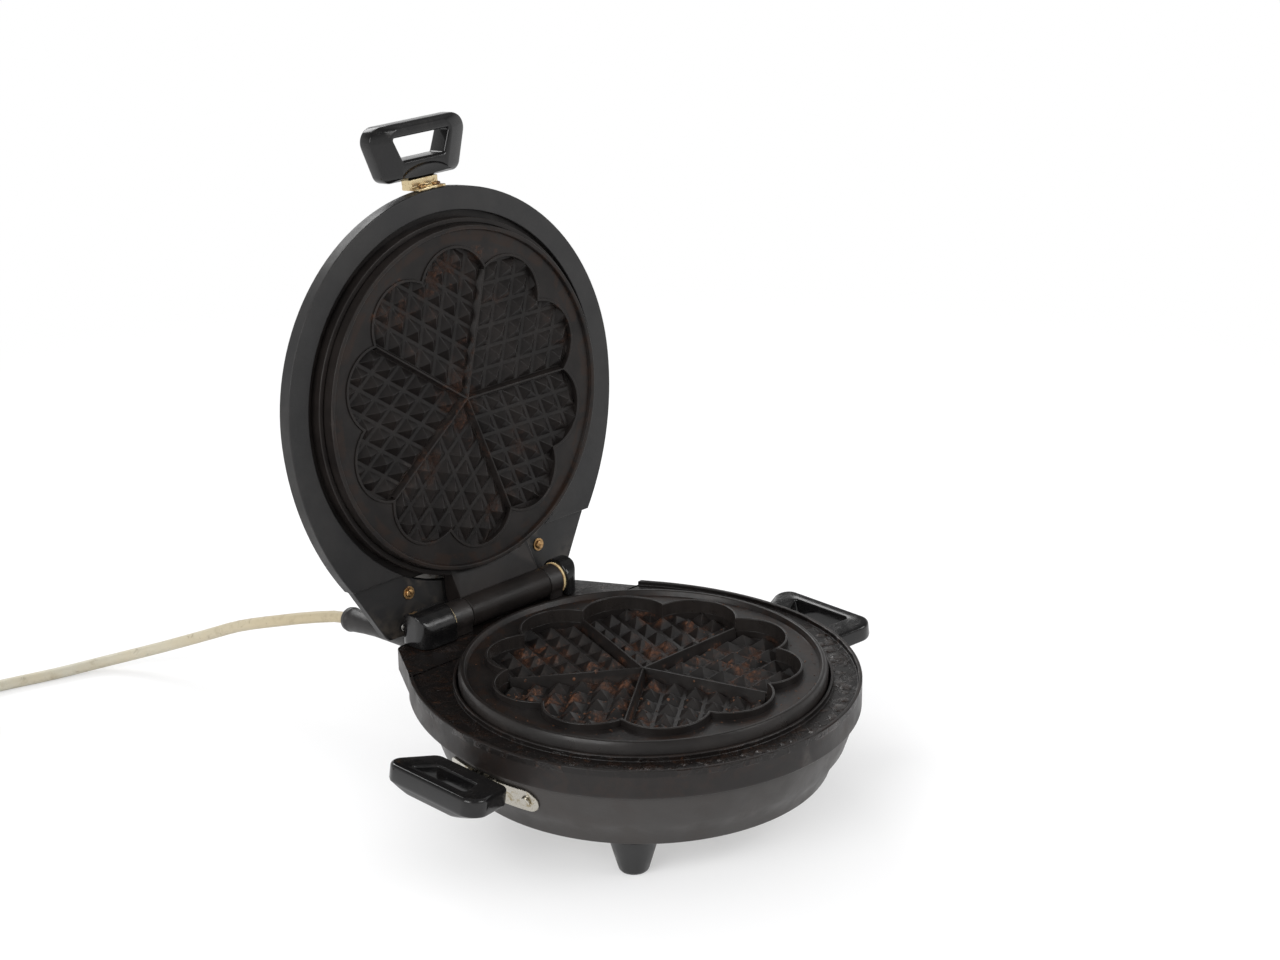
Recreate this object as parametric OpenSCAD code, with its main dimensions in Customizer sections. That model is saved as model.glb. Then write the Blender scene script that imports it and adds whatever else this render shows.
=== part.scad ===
// Electric waffle iron for five hearts, lid open against its stop, on four feet, with its mains cord.
// Millimetres, +Z up. The lid is drawn closed and turned open about the hinge axis.

/* [Casing] */
// Radius of both rims
rim_r = 97; // [92:0.5:102]
// Height of the feet under the bowl
foot_h = 18; // [12:1:26]
// Height of the bowl between feet and rim band
bowl_h = 28; // [24:1:34]
// Height of the rim band of the base
band_h = 13; // [11:0.5:15]
// Radius of the bowl at its flat bottom
bowl_bottom_r = 83.7; // [82:0.1:86]
// Wall thickness of the bowl
wall = 2.5; // [2:0.1:3]
// Radius of the two shoulders between rim and tail
shoulder_r = 128.6; // [120:0.2:140]
// Distance from the centre to the step where the tail begins
tail_start = 74; // [72:0.5:78]
// Width of the tail where it begins
tail_w = 144.8; // [138:0.4:146]
// Width that the tail loses on its way to its end
tail_taper = 34.8; // [26:0.4:38]
// How far the tail face lies below the rim
tail_drop = 2.5; // [2.3:0.1:3]
// Width of the lip round the tray
lip_w = 1.8; // [1.2:0.1:3]
// Depth of the tray below the rim
tray_depth = 2.3; // [1.5:0.1:2.3]

/* [Lid] */
// Gap between the two rims with the lid closed
rim_gap = 13.4; // [13.4:0.1:16]
// Height of the rim band of the lid
lid_band_h = 7; // [6:0.5:9]
// Rise of the dome above the lid's band
dome_rise = 16; // [14:0.5:24]
// Angle of the open lid
open_angle = 96.5; // [90:0.5:100]
// Width of the flat face round the upper plate
face_w = 11; // [10:0.1:11.6]
// Thickness of that face
face_t = 3; // [2.5:0.1:3.5]

/* [Plates] */
// Distance from the rim's edge in to the lower plate
plate_inset = 15; // [14.6:0.1:15.5]
// Height of the lower plate's lip above the rim
lip_rise = 5.3; // [4.5:0.1:5.5]
// Height of the heart ridges above the rim
ridge_rise = 6.3; // [5:0.1:6.4]
// Thickness of the heart ridges
ridge_t = 1.2; // [0.8:0.1:1.8]
// Distance of the lobes' centres from the plate's centre
lobe_ring_r = 50; // [48:0.2:51]
// Radius of a lobe
lobe_r = 19.9; // [18.5:0.1:20.6]
// Depth of the wells below the rim
well_depth = 3.7; // [2.5:0.1:3.9]
// Height of the small pyramids
pyramid_h = 3.7; // [2.5:0.1:4]
// Pitch of the pyramids across a row
pyramid_pitch = 9.7; // [8.5:0.1:12]
// Width of the flat channels between pyramids
channel_w = 1.6; // [1:0.1:2.4]

/* [Hinge] */
// Distance of the hinge axis behind the centre
hinge_y = 98.2; // [97:0.2:99]
// Height of the hinge axis above the rim
hinge_rise = 4.6; // [4.4:0.1:5]
// Radius of barrel and knuckles
barrel_r = 7.4; // [6.8:0.1:7.6]
// Radius of the hinge pin
pin_r = 2.5; // [2:0.1:3.2]
// Radius of the wire channel in the pin
pin_bore_r = 1.2; // [0.8:0.1:1.5]
// Left end of the barrel
barrel_left = -19; // [-22:0.5:-16]
// Right end of the barrel
barrel_right = 30.5; // [26:0.5:33]
// Width of the left knuckle
knuckle_left_w = 10.8; // [8:0.2:11.4]
// Width of the right knuckle
knuckle_right_w = 8; // [6:0.2:10]
// Length of the left cap
cap_left_w = 20; // [17:0.2:23]
// Length of the right cap
cap_right_w = 8; // [7.5:0.1:12]
// Radius of the caps' round top
cap_r = 9.2; // [8.8:0.1:9.6]

/* [Handles] */
// Gap between rim and handle
handle_gap = 5; // [4:0.2:8]
// Depth of a handle, away from the iron
handle_d = 26; // [24:0.5:32]
// Width of a handle at its outer edge
handle_w = 61; // [55:0.5:66]
// Width of a handle at its inner edge
handle_in_w = 44; // [40:0.5:48]
// Thickness of a handle
handle_t = 11; // [9:0.1:12]
// Width of the finger gap at its outer side
finger_w = 33; // [26:0.5:36]
// Depth of the finger gap
finger_d = 10.5; // [9:0.1:13]
// Upward tilt of the side handles
handle_tilt = 10; // [0:1:14]

/* [Cord] */
// Diameter of the cord
cord_d = 5.6; // [5:0.1:6]
// Turns in each layer of the coil
coil_turns = 3.5; // [2.5:0.5:4]
// Radius of the coil's outer turn
coil_r = 41.7; // [40:0.1:46]

/* [Hidden] */

$fn = 96;
eps = 0.01;

// Fits between pieces
seat_gap = 0.1;
clear = 0.3;
pin_fit = 0.06;
screw_fit = 0.1;

// Radii that follow the rim
plate_r = rim_r - plate_inset;
face_r = rim_r - face_w;

// Heights of the base
band_z = foot_h + bowl_h;
rim_z = band_z + band_h;
tray_z = rim_z - tray_depth;
tail_z = rim_z - tail_drop;
seat_z = band_z + 4;
seat_t = 3;
seat_in_r = plate_r - 6;
crease_r = rim_r - 1.7;
crease_h = 0.8;
bowl_low_r = bowl_bottom_r + 2.3;
bowl_low_z = foot_h + bowl_h * 0.22;
bowl_mid_r = bowl_bottom_r + 7;
bowl_mid_z = foot_h + bowl_h * 0.47;
tail_end = hinge_y + 5.8;
tail_corner_r = 5;
tail_overlap = 20;
lid_tail_end = tail_end - 1;

// Tray ring round the lower plate
ring_gap = 0.9;
ring_in_r = plate_r + ring_gap;
ring_out_r = ring_in_r + 1.4;
ring_top_z = rim_z + 0.2;

// Bottom cover, feet and their screws
cover_r = bowl_bottom_r - 2.9;
cover_t = 1.2;
flange_t = 3.5;
front_foot_turn = 41;
rear_foot_turn = 55;
foot_turns = [180 + front_foot_turn, -front_foot_turn, 180 - rear_foot_turn, rear_foot_turn];
foot_top_r = 11.4;
foot_bottom_r = 6.7;
foot_round = 1.5;
foot_screw_r = 1.8;
foot_head_r = 3.4;
foot_head_h = 2.4;
foot_head_z = 6;
foot_nut_r = 3.6;
foot_nut_h = 2.6;
// The feet reach the edge of the bowl's flat bottom, with their nuts inside its opening
foot_ring_r = min(bowl_bottom_r - foot_top_r, seat_in_r - foot_nut_r) - clear;
cover_screw_ring_r = bowl_bottom_r - 5.3;
cover_screw_r = 1.1;
cover_head_r = 2.2;
cover_head_h = 1.1;
cover_screw_l = cover_t + flange_t - 0.5;
vents = 18;
vent_ring_r = 30;
vent_r = 2.5;

// Lower plate
lip_z = rim_z + lip_rise;
lip_out_r = plate_r - 1.3;
lip_in_r = lip_out_r - 1.5;
ridge_z = rim_z + ridge_rise;
floor_z = rim_z + 3;
well_z = rim_z - well_depth;
plate_t = 3.3;
plate_foot_in_r = plate_r - 5.5;
divider_rise = 1.8;
divider_w = 3.2;
divider_top_w = 0.7;
// Half of the uncut rib under each divider, and how far a divider runs past the lobes' middles
divider_core = 0.3;
divider_past = 12;
well_core_r = 40;
hearts = 5;
pyramid_tip = 0.5;

// Screws that hold the plates
plate_screws = 4;
plate_screw_turn = 45;
plate_screw_r = 1.5;
plate_head_r = 2.6;
plate_head_h = 1.6;
lower_bite = 3.5;
upper_bite = 1.7;
lower_screw_ring_r = plate_r - 2.4;
upper_screw_ring_r = face_r + 2.4;

// Heating elements and reflectors
element_ring_r = 52;
element_r = 3.2;
element_gap_angle = 18;
element_lead_r = 1.6;
reflector_t = 1;
reflector_dish_r = plate_r - 14;
reflector_drop = 7;
upper_dish_r = plate_r - 6;
upper_drop = 2;
upper_lead_l = 14;
block_w = 28;
block_d = 14;
block_h = 12;
block_screw_r = 2;

// Lid, in its closed place
face_z = rim_z + rim_gap;
lid_tail_z = face_z + tail_drop;
lid_top_z = face_z + lid_band_h;
dome_r = rim_r - 1;
dome_in_r = dome_r - 1.6 * wall;
tail_solid_y = tail_start + 4;
upper_r = plate_r + 0.8;
upper_ledge_z = face_z - 2.9;
upper_ledge_r = upper_r - 2.4;
upper_lip_z = face_z - 7.8;
upper_lip_out_r = upper_r - 3.1;
upper_lip_in_r = upper_lip_out_r - 2;
upper_floor_z = face_z - 6;
upper_ridge_z = face_z - 6.7;
upper_well_z = face_z - 3.9;
upper_pyramid_h = 2.8;
upper_back_z = face_z - 0.6;
upper_flange_r = dome_in_r - 1.5;
upper_flange_t = 2;
upper_flange_z = face_z + face_t;
notch_y = 80.7;
roof_z = upper_flange_z + 0.6;

// Ear screws on the lid's tail
ear_x = 40.8;
ear_y = 83.5;
ear_screw_r = 1.2;
ear_head_r = 2;
ear_head_h = 1;
ear_washer_r = 3.1;
ear_washer_t = 0.6;
ear_screw_l = 3.5;

// Hinge
hinge_z = rim_z + hinge_rise;
barrel_gap = 0.3;
ring_t = 1;
ring_r = barrel_r + 0.4;
knuckle_left_x = barrel_left - knuckle_left_w;
knuckle_right_x = barrel_right + knuckle_right_w;
cap_left_x = knuckle_left_x - ring_t - cap_left_w;
cap_right_x = knuckle_right_x + ring_t;
cap_front_y = hinge_y - cap_r;
cap_rear_y = hinge_y + cap_r;
cap_bottom_z = tail_z - 8.5;
cap_corner_r = 6;
cap_pin_depth = 6;
cap_screw_z = hinge_z - 1;
cap_screw_inset = 4;
cap_screw_r = 1;
cap_head_r = 1.8;
cap_head_h = 0.9;
knuckle_foot_d = 13;
trough_r = barrel_r + 0.6;
tongue_rear_y = hinge_y - 5.2;
lug_w = 12;
lug_y = 4.2;
lug_d = 1.7;

// Handles
handle_in_r = rim_r + handle_gap;
side_handle_z = rim_z - 16.85;
lid_handle_z = face_z + 10.15;
handle_corner_r = 7;
handle_in_corner_r = 5;
finger_from = 9.5;
finger_taper = 9;
finger_corner_r = 2.5;
rivet_at = 13;
strap_t = 1.2;
strap_low_z = side_handle_z - 10.8;
strap_top_z = side_handle_z + 0.6;
strap_mid_z = (strap_low_z + strap_top_z) / 2;
strap_end_r = (strap_top_z - strap_low_z) / 2;
post_w = 16;
post_h = 5.2;
post_start = 0.9;
rivet_r = 1.5;
rivet_head_r = 2.3;
rivet_head_h = 1.1;
rivet_l = 5;
bracket_w = 15.6;
bracket_t = 1.3;
bracket_low = 1.2;
bracket_post_low = 6.4;
bracket_post_h = 7.2;
bracket_screw_x = 4;
bracket_screw_z = 3.4;
bracket_screw_r = 1.1;
bracket_head_r = 2;
bracket_head_h = 1;
bracket_screw_l = 2.8;

// Strain relief and cord
cord_r = cord_d / 2;
relief_x = -40;
relief_z = tail_z - 3.9;
relief_len = 50.2;
relief_tilt = 3;
relief_neck_r = cord_r + 1.2;
relief_root_r = cord_r + 1.5;
relief_end_r = cord_r + 3.3;
relief_flare = 22;
relief_end_round = 1.6;
// Route of the free cord, from the strain relief to the coil
route = [[-40, 157.5, 50], [-46, 174, 47.5], [-54, 193, 42.5], [-60, 218, 34], [-65, 241, 23.5],
  [-75, 267, 12], [-93, 287, 4.6], [-118, 296, 3], [-145, 304, 3], [-175, 311, 3]];
stretch_step = 2.5 * cord_d;
stretch_sides = 8;
coil_centre = [-214, 282];
coil_entry = 74.6;
coil_pitch = cord_d + 0.7;
coil_layer = cord_d + 0.7;
coil_low_z = 3;
coil_sides = 6;
coil_rings = 24;
coil_plug_run = 27;

// Plug
plug_neck_l = 12;
plug_neck_r = 6;
plug_l = 26;
plug_w = 35;
plug_corner_r = 6;
plug_pin_r = 2.4;
plug_pin_l = 19;
plug_pin_gap = 19;
plug_pin_seat = 6;
plug_pin_neck_r = 2;
plug_pin_stand = 0.5;

// The model is centred between its frontmost and rearmost points, the cord left out
open_c = cos(open_angle);
open_s = sin(open_angle);
handle_out_y = handle_in_r + handle_d;
rear_handle_y = hinge_y + (-handle_out_y - hinge_y) * open_c
  + (lid_handle_z + handle_t / 2 - hinge_z) * open_s;
shift_y = -(rear_handle_y - rim_r) / 2;

// Points of a smooth outline: straight sides with rounded corners
function unit(v) = v / norm(v);
function corner(a, p, b, r, n = 6) =
  let (u = unit(a - p), v = unit(b - p), half = acos(u * v) / 2, turn = 180 - 2 * half,
    c = p + unit(u + v) * r / sin(half), s = p + u * r / tan(half) - c, e = p + v * r / tan(half) - c)
  [for (i = [0:n]) c + (s * sin((n - i) / n * turn) + e * sin(i / n * turn)) / sin(turn)];
function rounded(pts, radii) = let (n = len(pts))
  [for (i = [0:n - 1]) each (radii[i] == 0
    ? [pts[i]] : corner(pts[(i + n - 1) % n], pts[i], pts[(i + 1) % n], radii[i]))];

// The outline of both rims, ahead of the line y = back
module rim_outline(inset, back) {
  offside = shoulder_r - rim_r;
  intersection() {
    union() {
      circle(r = rim_r - inset);
      intersection() {
        translate([-offside, 0]) circle(r = shoulder_r - inset);
        translate([offside, 0]) circle(r = shoulder_r - inset);
        translate([-rim_r, 0]) square([2 * rim_r, rim_r]);
      }
    }
    translate([-rim_r, -rim_r]) square([2 * rim_r, rim_r + back]);
  }
}

// Half the width of the tail at a place along it
function tail_half(y) = (tail_w - tail_taper * (y - tail_start) / (tail_end - tail_start)) / 2;

// The outline of the tail, from inside the rim to its end
module tail_outline(end, grow = 0) {
  from = tail_start - tail_overlap;
  polygon(rounded([[tail_half(tail_start) + grow, from], [tail_half(tail_start) + grow, tail_start],
    [tail_half(end) + grow, end + grow], [-tail_half(end) - grow, end + grow],
    [-tail_half(tail_start) - grow, tail_start], [-tail_half(tail_start) - grow, from]],
    [0, 0, tail_corner_r, tail_corner_r, 0, 0]));
}

// Outer shape of the bowl under its band, as radius and height
function bowl_points() = [[bowl_bottom_r, foot_h], [bowl_low_r, bowl_low_z],
  [bowl_mid_r, bowl_mid_z], [crease_r, band_z - crease_h]];
function bowl_r(z) = bowl_mid_r + (crease_r - bowl_mid_r) * (z - bowl_mid_z)
  / (band_z - crease_h - bowl_mid_z);

module rounds(count, radius, turn = 0) {
  for (i = [0:count - 1])
    rotate([0, 0, turn + i * 360 / count]) translate([radius, 0, 0]) children();
}

module on_hinge(x) {
  translate([x, hinge_y, hinge_z]) rotate([0, 90, 0]) children();
}

// Turns what is drawn closed to the open lid
module opened() {
  translate([0, hinge_y, hinge_z]) rotate([-open_angle, 0, 0])
    translate([0, -hinge_y, -hinge_z]) children();
}

module placed() {
  translate([0, shift_y, 0]) children();
}

// The heart-shaped wells: ten lobes round a middle
module well_outline(grow = 0) {
  circle(r = well_core_r);
  rounds(2 * hearts, lobe_ring_r, 180 / (2 * hearts)) circle(r = lobe_r + grow);
}

module slab(from, to) {
  translate([0, 0, from]) linear_extrude(to - from) children();
}

// One row of channels across a heart, parallel to the divider beside it
module channel_row(height, pitch_from) {
  reach = lobe_ring_r + lobe_r + 5;
  rows = floor(reach / pyramid_pitch);
  half = pyramid_pitch / 2 - pyramid_tip / 2;
  for (i = [0:rows])
    translate([0, pitch_from + i * pyramid_pitch, 0]) rotate([90, 0, 90])
      translate([0, 0, -reach]) linear_extrude(2 * reach)
        polygon([[-channel_w / 2, -eps], [channel_w / 2, -eps], [half, height], [half, height + 2],
          [-half, height + 2], [-half, height]]);
}

// The channels of one heart, between the dividers at 0 and 72 degrees
module heart_channels(height, first) {
  wedge = 360 / hearts;
  reach = lobe_ring_r + lobe_r + 5;
  intersection() {
    slab(-1, height + 1) intersection() {
      well_outline(-eps);
      translate(divider_core * [1 / tan(wedge / 2), 1])
        polygon([[0, 0], [2 * reach, 0], [2 * reach * cos(wedge), 2 * reach * sin(wedge)]]);
    }
    union() {
      channel_row(height, first);
      rotate([0, 0, wedge]) mirror([0, 1, 0]) channel_row(height, first);
    }
  }
}

module dividers(height) {
  rounds(hearts, 0) rotate([90, 0, 90])
    linear_extrude(lobe_ring_r * cos(180 / (2 * hearts)) + divider_past)
      polygon([[-divider_w / 2, -eps], [divider_w / 2, -eps], [divider_top_w / 2, height],
        [-divider_top_w / 2, height]]);
}

// Wells with pyramids and dividers, cut into a plate whose well bottom lies at z = 0
module wells(depth, bumps, divider_h) {
  difference() {
    slab(0, depth + 1) well_outline();
    difference() {
      slab(-1, bumps) well_outline(1);
      for (i = [0:hearts - 1]) rotate([0, 0, i * 360 / hearts]) heart_channels(bumps, 1);
    }
    dividers(divider_h);
  }
}

module screw(r, head_r, head_h, length) {
  cylinder(r = r, h = length);
  translate([0, 0, -head_h]) cylinder(r = head_r, h = head_h);
}

module base_bowl() {
  color("dimgray") difference() {
    union() {
      rotate_extrude() polygon(concat([[0, foot_h]], bowl_points(),
        [[crease_r, band_z + 1], [0, band_z + 1]]));
      slab(band_z, rim_z) rim_outline(0, tail_start);
      slab(band_z, tail_z) tail_outline(tail_end);
      translate([0, 0, band_z]) cylinder(r = ring_out_r, h = ring_top_z - band_z);
    }
    slab(tray_z, ring_top_z + 1) difference() {
      rim_outline(lip_w, tail_start + 1);
      circle(r = ring_out_r);
    }
    translate([0, 0, seat_z]) cylinder(r = ring_in_r, h = rim_z);
    translate([0, 0, foot_h]) cylinder(r = seat_in_r, h = rim_z);
    translate([0, 0, foot_h - 1]) cylinder(r = cover_r + clear, h = cover_t + 1);
    rotate_extrude() polygon([[0, foot_h + cover_t + flange_t],
      [bowl_low_r - 2 * wall, foot_h + cover_t + flange_t], [bowl_low_r - wall, bowl_low_z + 2],
      [bowl_mid_r - wall, bowl_mid_z], [bowl_r(seat_z - seat_t) - 2 * wall, seat_z - seat_t],
      [0, seat_z - seat_t]]);
    on_hinge(barrel_left - clear) cylinder(r = trough_r, h = barrel_right - barrel_left + 2 * clear);
    rounds(plate_screws, lower_screw_ring_r, plate_screw_turn)
      translate([0, 0, seat_z - seat_t - 1]) cylinder(r = plate_screw_r + screw_fit, h = seat_t + 2);
    rounds(4, cover_screw_ring_r) translate([0, 0, foot_h])
      cylinder(r = cover_screw_r + screw_fit, h = cover_t + flange_t + 1);
    for (side = [0, 180]) rotate([0, 0, side]) rivets(screw_fit);
  }
}

module lower_plate() {
  color("#2b2523") difference() {
    union() {
      translate([0, 0, seat_z]) cylinder(r = plate_r, h = floor_z - seat_z);
      rotate_extrude() polygon([[lip_in_r - 1.2, floor_z - 1], [plate_r, floor_z - 1],
        [plate_r, floor_z], [lip_out_r, lip_z], [lip_in_r, lip_z], [lip_in_r - 1.2, floor_z]]);
      slab(floor_z - 1, ridge_z) well_outline(ridge_t);
    }
    translate([0, 0, seat_z - 1]) cylinder(r = plate_foot_in_r, h = well_z - plate_t - seat_z + 1);
    translate([0, 0, well_z]) wells(ridge_z - well_z, pyramid_h, well_depth + divider_rise);
    rounds(plate_screws, lower_screw_ring_r, plate_screw_turn)
      translate([0, 0, seat_z - 1]) cylinder(r = plate_screw_r + screw_fit, h = lower_bite + 1.5);
  }
}

module lower_plate_screws() {
  color("silver") rounds(plate_screws, lower_screw_ring_r, plate_screw_turn)
    translate([0, 0, seat_z - seat_t]) screw(plate_screw_r, plate_head_r, plate_head_h, seat_t + lower_bite);
}

// A ring of heater tube with a gap at the rear, its two ends turned down or back
module element(lead_l, down) {
  rotate([0, 0, 90 + element_gap_angle / 2]) rotate_extrude(angle = 360 - element_gap_angle)
    translate([element_ring_r, 0]) circle(r = element_r, $fn = 32);
  for (side = [-1, 1]) rotate([0, 0, 90 + side * element_gap_angle / 2])
    translate([element_ring_r, 0, 0]) rotate(down ? [0, 180, 0] : [0, 90, 0])
      cylinder(r = element_lead_r, h = lead_l, $fn = 32);
}

lower_element_z = well_z - plate_t - clear - element_r;
block_top_z = foot_h + cover_t + block_h;

module lower_element() {
  color("gray") translate([0, 0, lower_element_z])
    element(lower_element_z - block_top_z, true);
}

module lower_reflector() {
  top = seat_z - seat_t;
  color("lightgray") difference() {
    rotate_extrude() polygon([[0, top - reflector_drop], [reflector_dish_r, top - reflector_drop],
      [reflector_dish_r + 5, top - reflector_t], [lower_screw_ring_r - plate_head_r - clear, top - reflector_t],
      [lower_screw_ring_r - plate_head_r - clear, top], [reflector_dish_r + 4.5, top],
      [reflector_dish_r - 0.5, top - reflector_drop + reflector_t],
      [0, top - reflector_drop + reflector_t]]);
    for (side = [-1, 1]) rotate([0, 0, 90 + side * element_gap_angle / 2])
      translate([element_ring_r, 0, top - reflector_drop - 1])
        cylinder(r = element_lead_r + 1.2, h = reflector_t + 2);
  }
}

module terminal_block() {
  color("ivory") difference() {
    translate([-block_w / 2, element_ring_r - block_d / 2, foot_h + cover_t])
      cube([block_w, block_d, block_h]);
    for (side = [-1, 1]) translate([side * block_w / 4, element_ring_r - block_d / 2 - 1,
      foot_h + cover_t + block_h / 2]) rotate([-90, 0, 0]) cylinder(r = block_screw_r, h = 4);
  }
}

module bottom_cover() {
  color("silver") difference() {
    translate([0, 0, foot_h]) cylinder(r = cover_r, h = cover_t);
    at_feet() translate([0, 0, foot_h - 1])
      cylinder(r = foot_screw_r + screw_fit, h = cover_t + 2);
    rounds(4, cover_screw_ring_r) translate([0, 0, foot_h - 1])
      cylinder(r = cover_screw_r + screw_fit, h = cover_t + 2);
    rounds(vents, vent_ring_r) translate([0, 0, foot_h - 1]) cylinder(r = vent_r, h = cover_t + 2);
  }
}

module cover_screws() {
  color("silver") rounds(4, cover_screw_ring_r) translate([0, 0, foot_h])
    screw(cover_screw_r, cover_head_r, cover_head_h, cover_screw_l);
}

module at_feet(which = [0:3]) {
  for (i = which) rotate([0, 0, foot_turns[i]]) translate([foot_ring_r, 0, 0]) children();
}

module foot(i) {
  color("#1c1a19") at_feet([i]) difference() {
    rotate_extrude() polygon([[0, 0], [foot_bottom_r - foot_round, 0],
      [foot_bottom_r - foot_round * 0.3, foot_round * 0.3], [foot_bottom_r, foot_round],
      [foot_top_r, foot_h], [0, foot_h]]);
    translate([0, 0, -1]) cylinder(r = foot_head_r + clear, h = foot_head_z + 1);
    cylinder(r = foot_screw_r + screw_fit, h = foot_h + 1);
  }
}

module foot_screws() {
  color("silver") at_feet() {
    translate([0, 0, foot_head_z]) screw(foot_screw_r, foot_head_r, foot_head_h,
      foot_h + cover_t + foot_nut_h + 1 - foot_head_z);
    translate([0, 0, foot_h + cover_t]) cylinder(r = foot_nut_r, h = foot_nut_h, $fn = 6);
  }
}

// What lies below the tail's face, where the hinge's pieces stand on it
module under_tail_face(gap) {
  translate([-tail_w / 2, hinge_y - 2 * barrel_r, tail_z + gap - barrel_r])
    cube([tail_w, 4 * barrel_r, barrel_r]);
}

// A knuckle of the base: a round eye on a block that stands on the tail
module knuckle(x, width) {
  color("#3a3634") difference() {
    union() {
      on_hinge(x) cylinder(r = barrel_r, h = width);
      translate([x, hinge_y - knuckle_foot_d / 2, tail_z - 1])
        cube([width, knuckle_foot_d, hinge_rise + tail_drop + 1]);
    }
    on_hinge(x - 1) cylinder(r = pin_r + pin_fit, h = width + 2);
    under_tail_face(0);
  }
}

module hinge_pin() {
  from = cap_left_x + cap_left_w - cap_pin_depth;
  color("silver") on_hinge(from) difference() {
    cylinder(r = pin_r, h = cap_right_x + cap_pin_depth - from);
    translate([0, 0, -1]) cylinder(r = pin_bore_r, h = cap_right_x + cap_pin_depth - from + 2);
  }
}

module hinge_ring(x) {
  color("#d8a860") difference() {
    on_hinge(x + seat_gap / 2) cylinder(r = ring_r, h = ring_t - seat_gap);
    on_hinge(x - 1) cylinder(r = pin_r + pin_fit, h = ring_t + 2);
    under_tail_face(seat_gap / 2);
  }
}

// A moulded cap round one end of the hinge: it stands on the tail and hangs over its rear edge
module hinge_cap(x, width, corners) {
  color("#151413") difference() {
    intersection() {
      slab(cap_bottom_z, hinge_z + cap_r) polygon(rounded([[x, cap_front_y], [x + width, cap_front_y],
        [x + width, cap_rear_y], [x, cap_rear_y]], corners));
      union() {
        on_hinge(x) cylinder(r = cap_r, h = width);
        translate([x, cap_front_y, cap_bottom_z]) cube([width, 2 * cap_r, hinge_z - cap_bottom_z]);
      }
    }
    slab(cap_bottom_z - 1, tail_z + seat_gap / 2) tail_outline(tail_end, clear);
    on_hinge(knuckle_left_x - ring_t - cap_pin_depth - seat_gap)
      cylinder(r = pin_r + pin_fit, h = cap_right_x - knuckle_left_x + ring_t + 2 * (cap_pin_depth + seat_gap));
    translate([cap_screw_x(x, width), cap_rear_y + 1, cap_screw_z]) rotate([90, 0, 0])
      cylinder(r = cap_screw_r + screw_fit, h = 5);
  }
}

function cap_screw_x(x, width) = x < 0 ? x + cap_screw_inset : x + width - cap_screw_inset;

module hinge_cap_left() {
  hinge_cap(cap_left_x, cap_left_w, [cap_corner_r, 0, 0, cap_corner_r]);
}

module hinge_cap_right() {
  hinge_cap(cap_right_x, cap_right_w, [0, cap_corner_r, cap_corner_r, 0]);
}

module cap_screws() {
  color("silver") for (x = [cap_screw_x(cap_left_x, cap_left_w), cap_screw_x(cap_right_x, cap_right_w)])
    translate([x, cap_rear_y, cap_screw_z]) rotate([90, 0, 0])
      screw(cap_screw_r, cap_head_r, cap_head_h, 3.5);
}

// A flat loop of a handle, its inner edge at x = 0 and its middle at z = 0
module handle_loop() {
  color("#171513") translate([0, 0, -handle_t / 2]) linear_extrude(handle_t) difference() {
    polygon(rounded([[0, -handle_in_w / 2], [handle_d, -handle_w / 2], [handle_d, handle_w / 2],
      [0, handle_in_w / 2]], [handle_in_corner_r, handle_corner_r, handle_corner_r, handle_in_corner_r]));
    polygon(rounded([[finger_from, (finger_taper - finger_w) / 2], [finger_from + finger_d, -finger_w / 2],
      [finger_from + finger_d, finger_w / 2], [finger_from, (finger_w - finger_taper) / 2]],
      [for (i = [0:3]) finger_corner_r]));
  }
}

// Moves a piece drawn round a handle's inner edge to the right side of the base
module at_side() {
  translate([handle_in_r, 0, side_handle_z]) rotate([0, -handle_tilt, 0]) children();
}

// Places what is drawn along z on the right strap's outer face, square to it, where its rivets sit
module on_strap() {
  slope = atan((crease_r - bowl_mid_r) / (band_z - crease_h - bowl_mid_z));
  for (side = [-1, 1]) rotate([0, 0, side * rivet_at])
    translate([bowl_r(strap_mid_z) + (strap_t + seat_gap) / cos(slope), 0, strap_mid_z])
      rotate([0, 90 + slope, 0]) children();
}

module rivets(grow) {
  on_strap() translate([0, 0, -rivet_l]) cylinder(r = rivet_r + grow, h = rivet_l + 2 * grow);
}

// A strap with round ends along the bowl, and a post whose end lies flat against the tilted handle
module handle_strap() {
  inner_low = bowl_r(strap_low_z) + seat_gap;
  inner_top = bowl_r(strap_top_z) + seat_gap;
  up = post_h / 2 * cos(handle_tilt);
  out = post_h / 2 * sin(handle_tilt);
  reach = bowl_r(strap_mid_z) * sin(rivet_at);
  color("#b8b096") difference() {
    union() {
      intersection() {
        rotate_extrude() polygon([[inner_low, strap_low_z], [inner_low + strap_t, strap_low_z],
          [inner_top + strap_t, strap_top_z], [inner_top, strap_top_z]]);
        union() {
          for (side = [-1, 1]) translate([0, side * reach, strap_mid_z]) rotate([0, 90, 0])
            cylinder(r = strap_end_r, h = handle_in_r);
          translate([0, -reach, strap_mid_z - strap_end_r]) cube([handle_in_r, 2 * reach, 2 * strap_end_r]);
        }
      }
      translate([0, post_w / 2, 0]) rotate([90, 0, 0]) linear_extrude(post_w)
        polygon([[bowl_r(side_handle_z - up) + post_start, side_handle_z - up],
          [handle_in_r + out, side_handle_z - up], [handle_in_r - out, side_handle_z + up],
          [bowl_r(side_handle_z + up) + post_start, side_handle_z + up]]);
    }
    rivets(screw_fit);
  }
}

module strap_rivets() {
  color("#c9c2a8") {
    rivets(0);
    on_strap() translate([0, 0, -eps]) cylinder(r = rivet_head_r, h = rivet_head_h);
  }
}

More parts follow.
